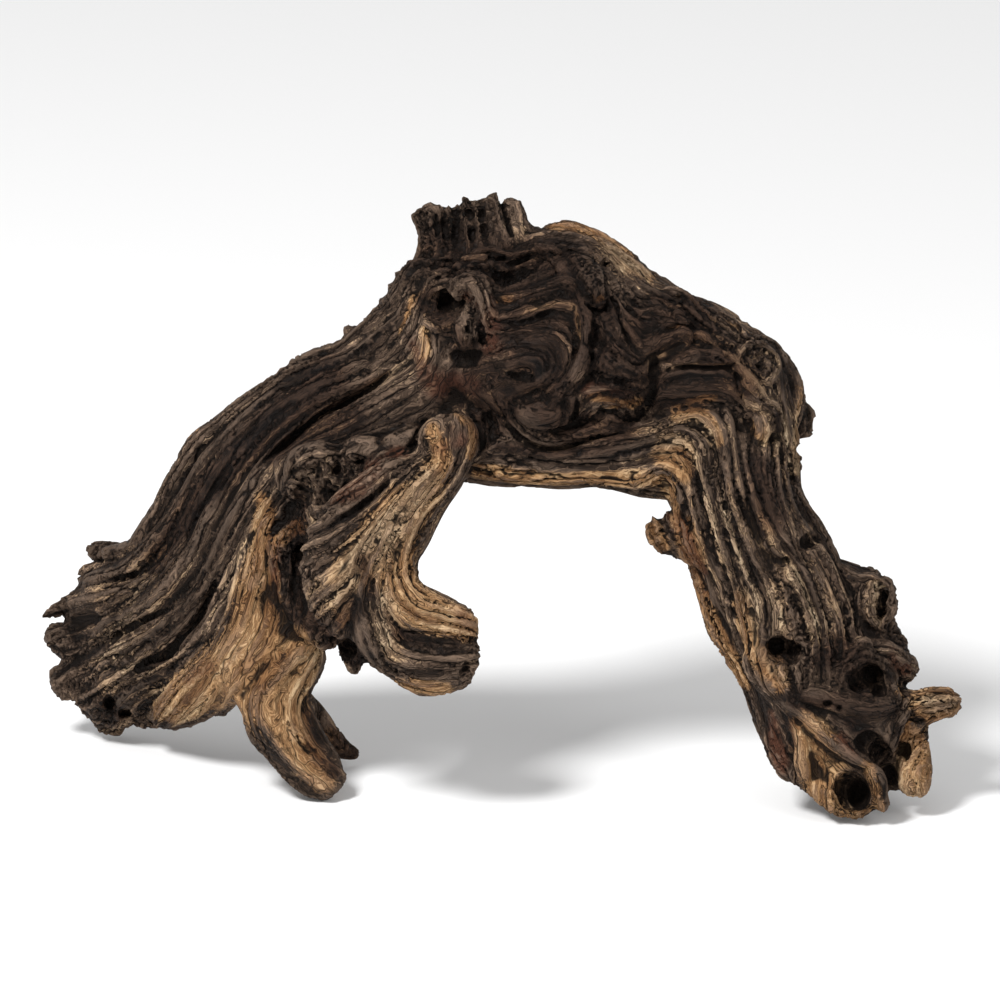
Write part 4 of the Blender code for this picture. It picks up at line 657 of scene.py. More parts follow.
# Cracks and holes in the back
BACK_CRACKS = {
    "long": (4.0, 14, [(420, 330), (370, 384), (326, 440), (282, 486), (236, 540), (186, 604)]),
    "low": (2.5, 9, [(404, 404), (352, 446), (302, 496), (258, 556), (216, 622), (172, 680)]),
    "high": (2.2, 8, [(380, 340), (330, 390), (280, 430), (236, 476), (196, 530)]),
    "crown": (3.0, 10, [(470, 372), (530, 362), (590, 382), (650, 416), (690, 456)]),
    "crown_high": (2.2, 8, [(450, 300), (510, 308), (560, 302)]),
    "crown_right": (2.2, 8, [(640, 330), (690, 360), (740, 410), (764, 450)]),
    "leg": (3.0, 10, [(700, 480), (730, 540), (760, 570)]),
    "leg_edge": (2.6, 10, [(740, 466), (772, 526), (800, 586), (826, 646)]),
    "leg_low": (2.5, 9, [(776, 630), (794, 672), (812, 716)]),
}
BACK_HOLES = [
    (605, 326, 9, 1.0, 18),
    (612, 333, 6, 1.0, 16),
    (768, 600, 7, 1.2, 16),
    (318, 410, 6, 1.0, 12),
]

# Nicks that break the outline: x, y, radius, cut through the whole thickness
NICKS = [
    (443, 198, 2.8), (443, 204, 2.4), (451, 199, 2.4), (452, 205, 2.2), (459, 197, 2.6), (460, 203, 2.2),
    (470, 193, 2.6), (470, 199, 2.2), (481, 193, 2.4), (482, 199, 2.2), (500, 194, 2.6), (501, 200, 2.4),
    (503, 206, 2.2), (434, 199, 3.0), (490, 192, 2.2), (542, 229, 2.2), (534, 232, 2.4), (412, 218, 2.4),
    (484, 664, 4.0), (484, 641, 3.5),
    (958, 691, 4.0), (963, 715, 5.0), (951, 683, 3.5), (962, 701, 2.0), (930, 688, 2.0),
    (36, 623, 2.6), (43, 623, 3.0), (50, 622, 3.0), (56, 621, 2.4), (66, 590, 2.4), (84, 561, 3.0),
    (54, 666, 3.5), (147, 725, 3.2), (60, 713, 3.0), (76, 726, 2.6), (120, 738, 3.0), (92, 744, 2.6),
    (896, 806, 4.0), (878, 824, 4.0), (902, 808, 2.4), (848, 826, 4.0), (821, 813, 4.0),
    (899, 631, 2.2), (903, 588, 2.2), (904, 648, 2.2), (924, 678, 3.0), (818, 409, 2.0), (817, 420, 2.0),
    (174, 458, 3.5), (150, 503, 3.0), (126, 540, 3.5), (222, 406, 3.5), (262, 377, 5.0), (272, 369, 7.0),
    (283, 361, 7.0), (381, 290, 7.0), (390, 277, 6.0), (374, 302, 4.0), (404, 262, 4.0), (645, 257, 6.0),
    (654, 263, 8.0), (664, 270, 7.0), (591, 224, 4.0), (612, 236, 3.5), (698, 292, 3.5), (712, 297, 4.0),
    (744, 317, 5.0), (755, 322, 6.0), (768, 331, 5.0), (786, 348, 4.5), (532, 218, 6.0), (541, 222, 5.0),
    (802, 450, 5.0), (803, 462, 3.0), (246, 505, 2.0), (256, 494, 2.2), (268, 496, 2.2),
    (350, 783, 4.0), (343, 803, 3.5), (322, 806, 3.0), (352, 746, 2.6),
]

# Colour patches: points of (x, y, radius) along soft strokes on the front
TAN = [
    [(264, 500, 8), (266, 530, 14), (258, 590, 20), (254, 640, 30), (266, 690, 38)],
    [(276, 540, 8), (296, 528, 10)],
    [(300, 650, 20), (290, 690, 19), (288, 735, 15), (322, 782, 12)],
    [(245, 655, 30), (205, 690, 26), (160, 712, 16)],
    [(440, 466, 12), (424, 495, 12), (402, 530, 15), (396, 570, 17), (410, 600, 18), (440, 618, 16),
     (466, 626, 14)],
    [(434, 430, 8), (440, 446, 9), (446, 460, 8)],
    [(456, 417, 4), (467, 424, 5), (472, 438, 6), (470, 454, 7)],
    [(404, 684, 10), (440, 688, 10)],
    [(478, 472, 8), (520, 477, 8), (580, 477, 8), (640, 477, 9), (668, 480, 9), (676, 500, 8)],
    [(650, 528, 10), (658, 544, 10)],
    [(678, 505, 10), (692, 560, 11), (708, 605, 11), (730, 650, 10), (748, 682, 9)],
    [(806, 730, 16), (816, 760, 24), (820, 785, 20), (845, 818, 12), (870, 818, 12)],
    [(866, 764, 7), (875, 780, 7), (878, 796, 7), (878, 812, 8)],
    [(905, 726, 10), (918, 750, 18), (918, 790, 16)],
    [(934, 704, 20), (956, 703, 16)],
    [(896, 694, 8)],
    [(786, 704, 4), (812, 722, 6), (834, 740, 6)],
    [(425, 332, 5), (428, 350, 5), (422, 370, 5)],
    [(680, 414, 8), (704, 418, 8), (716, 440, 6)],
    [(404, 500, 14), (374, 540, 18), (352, 576, 16)],
    [(340, 604, 8), (344, 616, 6)],
    [(672, 452, 16), (684, 470, 10)],
    [(758, 428, 8), (757, 440, 7)],
    [(556, 224, 9), (590, 232, 9), (622, 254, 12), (642, 276, 10)],
    # The strokes that follow with radii of 7 and less lie on ridge tops of the crown and the left leg: paler
    # worn wood with a painted highlight
    [(584, 272, 4), (592, 286, 6), (598, 298, 6)],
    [(684, 360, 3), (700, 354, 5), (714, 358, 3)],
    [(672, 292, 3), (690, 304, 4), (704, 318, 3)],
    [(664, 322, 3), (684, 330, 4)],
    [(716, 320, 3), (736, 330, 4)],
    [(500, 302, 4), (530, 299, 4), (556, 291, 4)],
    [(578, 310, 3), (583, 340, 4), (572, 366, 3)],
    [(606, 330, 4), (614, 350, 4)],
    [(748, 362, 2), (760, 354, 3), (771, 364, 3)],
    [(760, 404, 4), (774, 408, 4)],
    [(414, 296, 4), (404, 330, 4), (384, 360, 4)],
    [(196, 430, 4), (180, 462, 4), (168, 490, 4)],
    [(594, 394, 6), (612, 402, 7), (640, 405, 6)],
    [(690, 397, 5), (712, 397, 5)],
    [(797, 385, 6), (796, 430, 6), (796, 470, 5)],
    [(740, 600, 9), (748, 640, 10), (780, 680, 12)],
    [(470, 288, 5), (486, 306, 6)],
]
PALE = [
    [(430, 480, 18), (400, 520, 26), (360, 560, 34), (345, 600, 28)],
    [(380, 600, 22), (384, 640, 20)],
    [(640, 445, 14), (700, 430, 20), (712, 490, 24), (740, 560, 30), (770, 620, 30)],
    [(878, 586, 12), (866, 600, 8), (876, 622, 10)],
    [(930, 704, 16), (954, 703, 13)],
    [(786, 678, 14), (760, 650, 10)],
    [(800, 580, 26), (820, 620, 24)],
    [(720, 340, 30), (770, 370, 30), (785, 440, 24), (800, 510, 18)],
    [(150, 590, 40), (110, 650, 40), (150, 680, 34)],
    [(610, 250, 24), (640, 275, 20)],
]
RED = [
    [(462, 290, 8), (480, 300, 10), (496, 326, 12)],
    [(420, 345, 12), (428, 372, 12)],
    [(676, 516, 12), (690, 548, 14), (712, 600, 10)],
    [(440, 450, 8), (462, 440, 8)],
    [(484, 302, 10), (492, 345, 12)],
    [(590, 390, 10), (625, 390, 10)],
    [(838, 738, 9), (850, 752, 9)],
    [(774, 716, 10), (776, 745, 12), (778, 768, 10)],
    [(514, 215, 10), (516, 232, 8)],
    [(370, 470, 12), (340, 500, 14), (400, 455, 10)],
    [(455, 460, 6), (436, 495, 6)],
    [(276, 545, 7), (276, 600, 6)],
    [(212, 664, 8), (190, 680, 8)],
    [(690, 540, 10), (700, 580, 8)],
    [(440, 380, 16), (470, 386, 12)],
    [(890, 660, 12), (905, 670, 8)],
    [(460, 614, 8), (472, 626, 8)],
]
# Strokes that darken by SHADE_COLOUR: painted shade in hollows, holes, cracks and recesses, and a darker
# crown, left leg and shin
DARK = [
    [(306, 716, 9), (314, 748, 10), (334, 772, 9)],
    [(352, 600, 12), (344, 622, 12)],
    [(364, 560, 8), (372, 590, 9)],
    [(440, 640, 6), (400, 636, 8), (386, 610, 6)],
    [(500, 448, 7), (560, 453, 7), (620, 449, 7)],
    [(650, 400, 12), (700, 402, 10)],
    [(458, 390, 26), (480, 396, 22), (476, 420, 10)],
    [(452, 430, 7), (455, 450, 6)],
    [(884, 748, 6), (888, 772, 5), (892, 796, 5)],
    [(790, 720, 10), (790, 750, 9)],
    [(782, 650, 16)],
    [(796, 700, 12), (830, 700, 12), (862, 708, 12), (890, 708, 10)],
    [(560, 300, 40), (520, 300, 30), (600, 320, 30)],
    [(280, 449, 6), (318, 417, 9), (355, 397, 9), (388, 374, 6)],
    [(640, 330, 30), (680, 350, 24), (700, 300, 20)],
    [(330, 380, 30), (260, 440, 26), (200, 500, 22), (160, 560, 20)],
    [(440, 250, 40), (500, 262, 40), (560, 270, 34)],
    [(428, 300, 16), (466, 348, 14), (500, 400, 30), (480, 430, 22)],
    [(530, 330, 44), (540, 380, 40), (560, 420, 26), (620, 430, 20)],
    [(600, 350, 36), (630, 380, 28)],
    [(660, 310, 24), (690, 330, 26), (740, 380, 24)],
    [(660, 384, 22), (700, 384, 22), (735, 388, 16)],
    [(756, 470, 18), (770, 520, 18)],
    [(300, 500, 12), (300, 560, 16), (300, 610, 18), (330, 640, 12)],
    [(345, 648, 12), (356, 660, 8)],
    [(108, 712, 18)],
    [(866, 680, 24), (840, 650, 20), (820, 660, 12)],
    [(850, 722, 10), (868, 734, 10), (880, 744, 9)],
    [(853, 794, 17)],
    [(780, 652, 14)],
    [(330, 740, 16), (350, 755, 12)],
    [(350, 420, 24), (280, 450, 20)],
]

# The same on the back, which the picture doesn't show
BACK_PATCHES = {
    "tan": [
        [(300, 650, 16), (296, 700, 18), (312, 750, 18), (328, 782, 14)],
        [(440, 470, 14), (416, 520, 16), (400, 570, 16), (430, 620, 14), (462, 640, 14)],
        [(500, 462, 8), (560, 466, 8), (620, 466, 8), (664, 476, 8)],
        [(690, 500, 8), (708, 560, 9), (730, 620, 8)],
        [(916, 740, 14), (914, 780, 12)],
        [(936, 704, 14), (954, 703, 12)],
        [(560, 240, 10), (600, 256, 10)],
    ],
    "pale": [
        [(420, 500, 30), (400, 570, 30)],
        [(700, 460, 24), (740, 540, 26), (780, 620, 24)],
        [(320, 400, 26), (270, 470, 20)],
        [(600, 326, 26)],
    ],
    "red": [
        [(520, 330, 20), (560, 320, 16)],
        [(240, 520, 20), (210, 580, 18)],
        [(800, 690, 18)],
    ],
    # Painted shade in the back's holes, and darker patches on the back of the crown and the left leg
    "dark": [
        [(460, 260, 40), (520, 280, 40)],
        [(605, 328, 14)],
        [(768, 600, 12)],
        [(130, 650, 34), (110, 690, 26)],
    ],
    "rough": [
        [(605, 328, 24)],
        [(320, 404, 20)],
        [(440, 240, 24), (500, 236, 20)],
    ],
}

# Where the relief is worn smooth, and where the wood is chipped and broken
SMOOTH = [
    [(262, 590, 20), (262, 640, 40), (268, 690, 42)],
    [(300, 740, 28), (325, 785, 18)],
    [(245, 650, 30), (210, 686, 26)],
    [(790, 730, 30), (820, 760, 30)],
    [(850, 712, 26), (880, 720, 24), (874, 750, 24)],
    [(820, 700, 18), (860, 706, 18)],
    [(452, 436, 14)],
    [(660, 384, 16), (700, 382, 16), (735, 384, 14)],
    [(640, 330, 14), (725, 340, 10), (560, 408, 14), (465, 356, 12)],
    [(440, 385, 20), (470, 392, 18)],
    [(76, 620, 18)],
]
ROUGH = [
    [(478, 620, 16), (482, 650, 16), (476, 684, 14)],
    [(648, 522, 10), (654, 546, 10)],
    [(878, 590, 18), (884, 620, 16)],
    [(845, 645, 14), (880, 660, 16), (905, 655, 14)],
    [(60, 610, 12), (50, 650, 12), (60, 696, 16), (100, 730, 24), (140, 728, 14)],
    [(300, 540, 16), (300, 590, 18), (312, 625, 18), (345, 660, 12)],
    [(300, 470, 16), (316, 500, 18), (350, 470, 18), (390, 455, 14), (415, 440, 12)],
    [(620, 365, 28), (635, 380, 14), (580, 270, 18)],
    [(440, 275, 20), (540, 260, 20), (520, 275, 16), (600, 262, 10)],
    [(680, 320, 20), (700, 335, 14), (720, 322, 12)],
    [(955, 703, 12), (935, 700, 12), (806, 408, 12), (808, 428, 12)],
    [(770, 740, 10), (782, 780, 12), (820, 800, 12), (860, 822, 12), (884, 806, 10)],
    [(918, 760, 14), (915, 792, 14)],
    [(782, 655, 14), (866, 682, 18), (447, 303, 12)],
]


def to_local(points):
    """Picture points (x, y, depth) as (right, away, up) in picture units."""
    points = np.asarray(points, float)
    return np.stack([points[:, 0] - PICTURE_MIDDLE, points[:, 2], PICTURE_FLOOR - points[:, 1]], axis=1)


def picture_matrix(flatness=1.0):
    """Picture units to metres, tipped by the viewing angle, with the depth pressed by the flatness."""
    tip = Matrix.Rotation(-VIEW_HEIGHT_ANGLE, 4, "X")
    return Matrix.Scale(UNIT, 4) @ tip @ Matrix.Diagonal((1.0, flatness, 1.0, 1.0))


def smooth_line(points, step=LIMB_STEP):
    """Points at an even step along the Catmull-Rom curve through the given ones, all columns alike."""
    points = np.asarray(points, float)
    padded = np.vstack([2 * points[0] - points[1], points, 2 * points[-1] - points[-2]])
    fine = []
    for before, start, end, after in zip(padded, padded[1:], padded[2:], padded[3:]):
        t = np.linspace(0.0, 1.0, CURVE_POINTS, endpoint=False)[:, None]
        bend = (2 * before - 5 * start + 4 * end - after) * t**2
        twist = (3 * start - before - 3 * end + after) * t**3
        fine.append(0.5 * (2 * start + (end - before) * t + bend + twist))
    fine = np.vstack(fine + [points[-1:]])
    travelled = np.concatenate([[0.0], np.cumsum(np.linalg.norm(np.diff(fine[:, :2], axis=0), axis=1))])
    count = max(FEWEST_POINTS, int(travelled[-1] / step) + 1)
    even = np.linspace(0.0, travelled[-1], count)
    return np.stack([np.interp(even, travelled, column) for column in fine.T], axis=1)


def limb_samples(names=tuple(LIMBS)):
    """The named limbs as spheres close together: columns x, y, depth, radius, flatness."""
    rows = []
    for name in names:
        flatness, points = LIMBS[name]
        line = smooth_line(points)
        rows.append(np.column_stack([line, np.full(len(line), flatness)]))
    return np.vstack(rows)


def surface_depth(samples, x, y, side):
    """Depth of the limbs' surface at picture points, on the front or the back."""
    away = np.hypot(x[:, None] - samples[:, 0], y[:, None] - samples[:, 1])
    radius = samples[:, 3]
    bulge = samples[:, 4] * np.sqrt(np.maximum(radius**2 - away**2, 0.0))
    inside = away < radius
    depth = np.where(inside, side * samples[:, 2] + bulge, -np.inf)
    nearest = np.argmin(away - radius, axis=1)
    found = np.max(depth, axis=1)
    return side * np.where(np.isfinite(found), found, side * samples[nearest, 2])


def evened(values, width, rounds):
    """Values along a line, averaged over an odd number of neighbours, some rounds."""
    for _ in range(rounds):
        values = np.convolve(np.pad(values, width // 2, mode="edge"), np.ones(width) / width, mode="valid")
    return values


def lay_on(samples, line, radius, sink, side):
    """A picture line laid on the limbs' surface, as points of (x, y, depth)."""
    depth = evened(surface_depth(samples, line[:, 0], line[:, 1], side), 5, 3)
    below = radius * (sink + END_SINK * (1.0 - swell(len(line), END_SINK_REACH)))
    return np.column_stack([line[:, 0], line[:, 1], depth - side * below])


def swell(count, reach):
    """0 at both ends of a line, rising to 1 over the given share of its length."""
    t = np.linspace(0.0, 1.0, count)
    return np.sin(0.5 * math.pi * np.minimum(1.0, np.minimum(t, 1.0 - t) / reach))


def tapered(radius, count, ends, reach):
    """Radii along a strand, thinner at both ends."""
    return radius * (ends + (1.0 - ends) * swell(count, reach))


def wobble(rng, count, size, waves=4):
    """A smooth seeded wander of about the given size."""
    knots = rng.uniform(-1.0, 1.0, waves + 2)
    return size * np.interp(np.linspace(0.0, waves + 1, count), np.arange(waves + 2), knots)


def flow_strands(rng):
    """The strands of every flow, each as (points of x, y, depth; radii)."""
    strands = []
    for count, radius, sides, carriers, guides in FLOWS.values():
        samples = limb_samples(carriers)
        lines = [smooth_line(guide, STRAND_STEP) for guide in guides]
        size = max(len(line) for line in lines)
        lines = np.stack([stretched(line, size) for line in lines])
        for side in sides:
            raised = wobble(rng, count, FOLD_HEIGHT, max(1, count // FOLD_STRANDS))
            for lift, across in zip(raised, np.linspace(0.0, len(lines) - 1.0, count)):
                low = min(int(across), len(lines) - 2)
                line = lines[low] + (lines[low + 1] - lines[low]) * (across - low)
                line = line + np.stack([wobble(rng, size, WANDER), wobble(rng, size, WANDER)], axis=1)
                own = radius * rng.uniform(*RADIUS_SPREAD)
                laid = lay_on(samples, line, own, rng.uniform(*FLOW_SINK) - lift, side)
                width = tapered(own, size, *FLOW_TAPER) * (1.0 + wobble(rng, size, RADIUS_WAVE))
                strands.append((laid, width))
    return strands


def stretched(line, size):
    """The line with the given number of points."""
    old = np.linspace(0.0, 1.0, len(line))
    return np.stack([np.interp(np.linspace(0.0, 1.0, size), old, column) for column in line.T], axis=1)


def wrap_strands(rng):
    """Strands round the sides of the limbs, where the flows of the front and back don't reach."""
    strands = []
    for name, (radius, angles) in WRAPS.items():
        flatness, points = LIMBS[name]
        line = smooth_line(points)
        way = np.gradient(line[:, :2], axis=0)
        way /= np.linalg.norm(way, axis=1)[:, None]
        for angle in angles:
            turn = math.radians(angle) + wobble(rng, len(line), TURN_WANDER)
            reach = line[:, 3] - radius * rng.uniform(*WRAP_SINK)
            right = np.column_stack([-way[:, 1], way[:, 0]]) * (reach * np.sin(turn))[:, None]
            depth = line[:, 2] - flatness * reach * np.cos(turn)
            placed = np.column_stack([line[:, :2] + right, depth])
            width = tapered(radius, len(line), *WRAP_TAPER) * (1.0 + wobble(rng, len(line), RADIUS_WAVE))
            strands.append((placed, width))
    return strands


def fold_strands(samples, folds, side):
    """One strand for each fold, laid on one side of the limbs."""
    strands = []
    for radius, sink, points in folds.values():
        line = smooth_line(points, STRAND_STEP)
        laid = lay_on(samples, line, radius, sink, side)
        strands.append((laid, tapered(radius, len(line), *FOLD_TAPER)))
    return strands


def comb_strands():
    """The comb's strands, with the radii given along them."""
    lines = [smooth_line(points, STRAND_STEP) for points in COMB]
    return [(line[:, :3], line[:, 3]) for line in lines]


def added_object(name, data):
    """A new object in the scene."""
    item = bpy.data.objects.new(name, data)
    bpy.context.scene.collection.objects.link(item)
    return item


def tube_mesh(name, strands, matrix):
    """A curve with one round tube for each strand, as one mesh in metres."""
    curve = bpy.data.curves.new(name, "CURVE")
    curve.dimensions = "3D"
    curve.bevel_depth = 1.0
    curve.bevel_resolution = 3
    curve.use_fill_caps = True
    for points, radii in strands:
        spline = curve.splines.new("POLY")
        spline.points.add(len(points) - 1)
        local = to_local(points)
        spline.points.foreach_set("co", np.column_stack([local, np.ones(len(local))]).ravel())
        spline.points.foreach_set("radius", np.asarray(radii, float))
    guide = added_object(name, curve)
    bpy.context.view_layer.update()
    mesh = bpy.data.meshes.new_from_object(guide.evaluated_get(bpy.context.evaluated_depsgraph_get()))
    bpy.data.objects.remove(guide, do_unlink=True)
    mesh.transform(matrix)
    return mesh


def joined_object(name, meshes):
    """The meshes as one object, with the caps' edges merged."""
    whole = bmesh.new()
    for mesh in meshes:
        whole.from_mesh(mesh)
        bpy.data.meshes.remove(mesh)
    bmesh.ops.remove_doubles(whole, verts=whole.verts, dist=MERGE_DISTANCE)
    result = bpy.data.meshes.new(name)
    whole.to_mesh(result)
    whole.free()
    return added_object(name, result)


def applied(item):
    """Replace the object's mesh by its evaluated one, and drop its modifiers."""
    bpy.context.view_layer.update()
    mesh = bpy.data.meshes.new_from_object(item.evaluated_get(bpy.context.evaluated_depsgraph_get()))
    old = item.data
    item.modifiers.clear()
    item.data = mesh
    bpy.data.meshes.remove(old)
    return item


def remesh(item, voxel, smoothing):
    """One even skin round everything in the object, then smoothed."""
    skin = item.modifiers.new("Voxels", "REMESH")
    skin.mode = "VOXEL"
    skin.voxel_size = voxel
    soften = item.modifiers.new("Soften", "SMOOTH")
    soften.factor = 0.5
    soften.iterations = smoothing
    return applied(item)


def limb_meshes():
    """The limbs as round tubes, each pressed in depth by its flatness."""
    meshes = []
    for name, (flatness, points) in LIMBS.items():
        line = smooth_line(points)
        line[:, 2] /= flatness
        meshes.append(tube_mesh(name, [rounded_ends(line)], picture_matrix(flatness)))
    return meshes


def rounded_ends(line):
    """A limb's points and radii with a round cap added at each end."""
    points, radii = line[:, :3], line[:, 3]
    first = dome(points[0], points[0] - points[1], radii[0])
    last = dome(points[-1], points[-1] - points[-2], radii[-1])
    points = np.vstack([first[0][::-1], points, last[0]])
    return points, np.concatenate([first[1][::-1], radii, last[1]])


def dome(centre, outward, radius):
    """Points and radii of a low dome past the end of a limb."""
    outward = outward / np.linalg.norm(outward)
    angles = np.radians(DOME_ANGLES)
    centres = centre + np.outer(np.sin(angles) * radius * DOME_REACH, outward)
    return centres, radius * np.cos(angles)


def keep_largest(item):
    """Drop loose scraps, so that one body is left."""
    whole = bmesh.new()
    whole.from_mesh(item.data)
    unseen = set(whole.verts)
    largest = set()
    while unseen:
        piece = {unseen.pop()}
        edge = list(piece)
        while edge:
            step = [other.other_vert(vert) for vert in edge for other in vert.link_edges]
            edge = [vert for vert in set(step) if vert in unseen]
            unseen.difference_update(edge)
            piece.update(edge)
        if len(piece) > len(largest):
            largest = piece
    bmesh.ops.delete(whole, geom=[vert for vert in whole.verts if vert not in largest], context="VERTS")
    whole.to_mesh(item.data)
    whole.free()


def seen_depth(faces, samples, x, y, side):
    """Depth of the wood's surface at picture points, and of the limbs' where a ray misses the wood."""
    matrix = picture_matrix()
    way = (matrix.to_3x3() @ Vector((0.0, -side, 0.0))).normalized()
    depth = surface_depth(samples, x, y, side)
    for index, (column, row) in enumerate(zip(x, y)):
        start = matrix @ Vector((column - PICTURE_MIDDLE, side * RAY_START, PICTURE_FLOOR - row))
        distance = faces.ray_cast(start, way)[3]
        if distance is not None:
            depth[index] = side * (RAY_START - distance / UNIT)
    return depth


def seen_line(faces, samples, points, side):
    """A smooth line through picture points, laid on one side of the wood: columns x, y, depth."""
    line = smooth_line(points, STRAND_STEP)
    depth = seen_depth(faces, samples, line[:, 0], line[:, 1], side)
    return np.column_stack([line[:, :2], evened(depth, 3, 2)])


def hollow_strands(faces, samples):
    """Tubes along the hollows of the front."""
    strands = []
    for radius, below, points in CUTS.values():
        line = seen_line(faces, samples, points, FRONT)
        line[:, 2] += below
        strands.append((line, tapered(radius, len(line), *FOLD_TAPER)))
    return strands


def crack_strands(faces, samples, cracks, side):
    """Tubes one below the other along the cracks, thinner as they go down."""
    strands = []
    for half, deep, points in cracks.values():
        line = seen_line(faces, samples, points, side)
        for share, lower in CRACK_LAYERS:
            sunk = line[:, 2] - side * lower * deep * swell(len(line), CRACK_REACH)
            thin = np.column_stack([line[:, :2], sunk])
            strands.append((thin, tapered(half * share, len(line), *CRACK_TAPER)))
    return strands


def hole_mesh(faces, samples, side, x, y, radius, stretch, depth):
    """A blunt peg, stretched upwards, that cuts a round hole."""
    mouth = seen_depth(faces, samples, np.array([float(x)]), np.array([float(y)]), side)[0]
    away = mouth - side * np.concatenate([[-radius], depth * np.array(PEG_DEPTHS)])
    points = np.column_stack([np.full(len(away), x), np.full(len(away), y), away])
    peg = tube_mesh("Hole", [(points, radius * np.array((PEG_MOUTH,) + PEG_RADII))], Matrix.Identity(4))
    middle = Matrix.Translation((x - PICTURE_MIDDLE, 0.0, PICTURE_FLOOR - y))
    taller = Matrix.Diagonal((1.0, 1.0, stretch, 1.0))
    peg.transform(picture_matrix() @ middle @ taller @ middle.inverted())
    return peg


def nick_strand(samples, x, y, radius):
    """A thin peg through the whole thickness, at the outline."""
    middle = samples[np.argmin(np.hypot(x - samples[:, 0], y - samples[:, 1]) - samples[:, 3]), 2]
    depth = middle + np.linspace(-NICK_REACH, NICK_REACH, NICK_POINTS)
    columns = [np.full(NICK_POINTS, x), np.full(NICK_POINTS, y), depth]
    return np.column_stack(columns), np.full(NICK_POINTS, radius)


def cut_meshes(item, samples):
    """Everything that is cut from the wood, placed by rays from in front of it and from behind."""
    faces = BVHTree.FromObject(item, bpy.context.evaluated_depsgraph_get())
    holes = [hole_mesh(faces, samples, FRONT, *hole) for hole in HOLES]
    holes += [hole_mesh(faces, samples, BACK, *hole) for hole in BACK_HOLES]
    strands = hollow_strands(faces, samples) + [nick_strand(samples, *nick) for nick in NICKS]
    strands += crack_strands(faces, samples, CRACKS, FRONT)
    strands += crack_strands(faces, samples, BACK_CRACKS, BACK)
    return [tube_mesh("Cracks", strands, picture_matrix())] + holes


def in_metres(points):
    """Picture points (x, y, depth) in metres."""
    return to_local(points) @ np.array(picture_matrix())[:3, :3].T


def strand_table(strands):
    """All strand points in metres, their radii, and the direction of the strand at each."""
    lines = [in_metres(points) for points, _ in strands]
    ways = np.concatenate([np.gradient(line, axis=0) for line in lines])
    ways /= np.linalg.norm(ways, axis=1)[:, None]
    radii = np.concatenate([radius for _, radius in strands]) * UNIT
    return np.concatenate(lines), radii, ways


def point_tree(points):
    """A tree that finds the nearest of the points."""
    tree = KDTree(len(points))
    for index, point in enumerate(points):
        tree.insert(point, index)
    tree.balance()
    return tree


def nearest_strand(points, table, tree):
    """How far each point is outside its nearest strand, in radii, and that strand's direction."""
    centres, radii, ways = table
    radius_list = radii.tolist()
    nearest = np.empty(len(points), int)
    for index, point in enumerate(points.tolist()):
        found = tree.find_n(point, NEAR_POINTS)
        nearest[index] = min(found, key=lambda hit: hit[2] - radius_list[hit[1]])[1]
    way = ways[nearest]
    offset = points - centres[nearest]
    offset = offset - np.sum(offset * way, axis=1)[:, None] * way
    return np.linalg.norm(offset, axis=1) / radii[nearest] - 1.0, way


def noise_at(points, scale, shift=0.0):
    """Smooth noise, about -1 to 1, at points divided by the scale."""
    places = (points / scale + shift).tolist()
    return np.array([noise.noise(place) for place in places])


def read_rows(items, name, width, kind=float):
    """A value of a mesh's items, as an array with one row for each."""
    values = np.empty(len(items) * width, kind)
    items.foreach_get(name, values)
    return values.reshape(-1, width)


def mesh_points(mesh):
    return read_rows(mesh.vertices, "co", 3)


def mesh_normals(mesh):
    return read_rows(mesh.vertex_normals, "vector", 3)


def mesh_edges(mesh):
    return read_rows(mesh.edges, "vertices", 2, int)


def move_points(mesh, points):
    mesh.vertices.foreach_set("co", points.ravel())
    mesh.update()


def both_ways(edges):
    """The two ends of every edge, read from one end and from the other."""
    return np.concatenate([edges[:, 0], edges[:, 1]]), np.concatenate([edges[:, 1], edges[:, 0]])


def neighbour_table(edges, count):
    """Each point and up to NEIGHBOURS points next to it, with the point itself for those it lacks."""
    first, second = both_ways(edges)
    order = np.argsort(first, kind="stable")
    first, second = first[order], second[order]
    place = np.arange(len(first)) - np.searchsorted(first, np.arange(count))[first]
    kept = place < NEIGHBOURS
    table = np.repeat(np.arange(count)[:, None], NEIGHBOURS + 1, axis=1)
    table[first[kept], place[kept] + 1] = second[kept]
    return table


def surface_ways(ways, normals, edges):
    """The grain's direction at each point, evened out over the surface and laid flat on it."""
    pairs = np.stack([ways[:, i] * ways[:, j] for i in range(3) for j in range(3)], axis=1)
    pairs = smoothed(pairs, edges, len(ways), WAY_ROUNDS).reshape(-1, 3, 3)
    main = np.linalg.eigh(pairs)[1][:, :, 2]
    flat = main - np.sum(main * normals, axis=1)[:, None] * normals
    return flat / (np.linalg.norm(flat, axis=1)[:, None] + 1e-9)


def traced(values, points, normals, ways, table):
    """Values averaged along the grain over a short and a long way, each brought to an even spread."""
    rows = np.arange(len(points))
    total = values.copy()
    short = values.copy()
    for sign in (1.0, -1.0):
        spot = points.copy()
        heading = ways * sign
        index = rows
        for step in range(LONG_STEPS):
            way = ways[index]
            heading = way * np.where(np.sum(way * heading, axis=1) < 0.0, -1.0, 1.0)[:, None]
            spot = spot + TRACE_STEP * heading
            for _ in range(2):
                near = table[index]
                away = np.sum((points[near] - spot[:, None]) ** 2, axis=2)
                index = near[rows, np.argmin(away, axis=1)]
            spot -= np.sum((spot - points[index]) * normals[index], axis=1)[:, None] * normals[index]
            total += values[index]
            if step < SHORT_STEPS:
                short += values[index]
    return short / short.std(axis=0), total / total.std(axis=0)


def groove(values):
    """0 on the plateaus between grooves, -1 in the middle of a groove, where the value passes 0."""
    return np.minimum(np.abs(values) / GROOVE_WIDTH, 1.0) - 1.0


def grow(item, distance):
    """Move the whole surface outward, to make up for what the grooves take away."""
    move_points(item.data, mesh_points(item.data) + distance * mesh_normals(item.data))


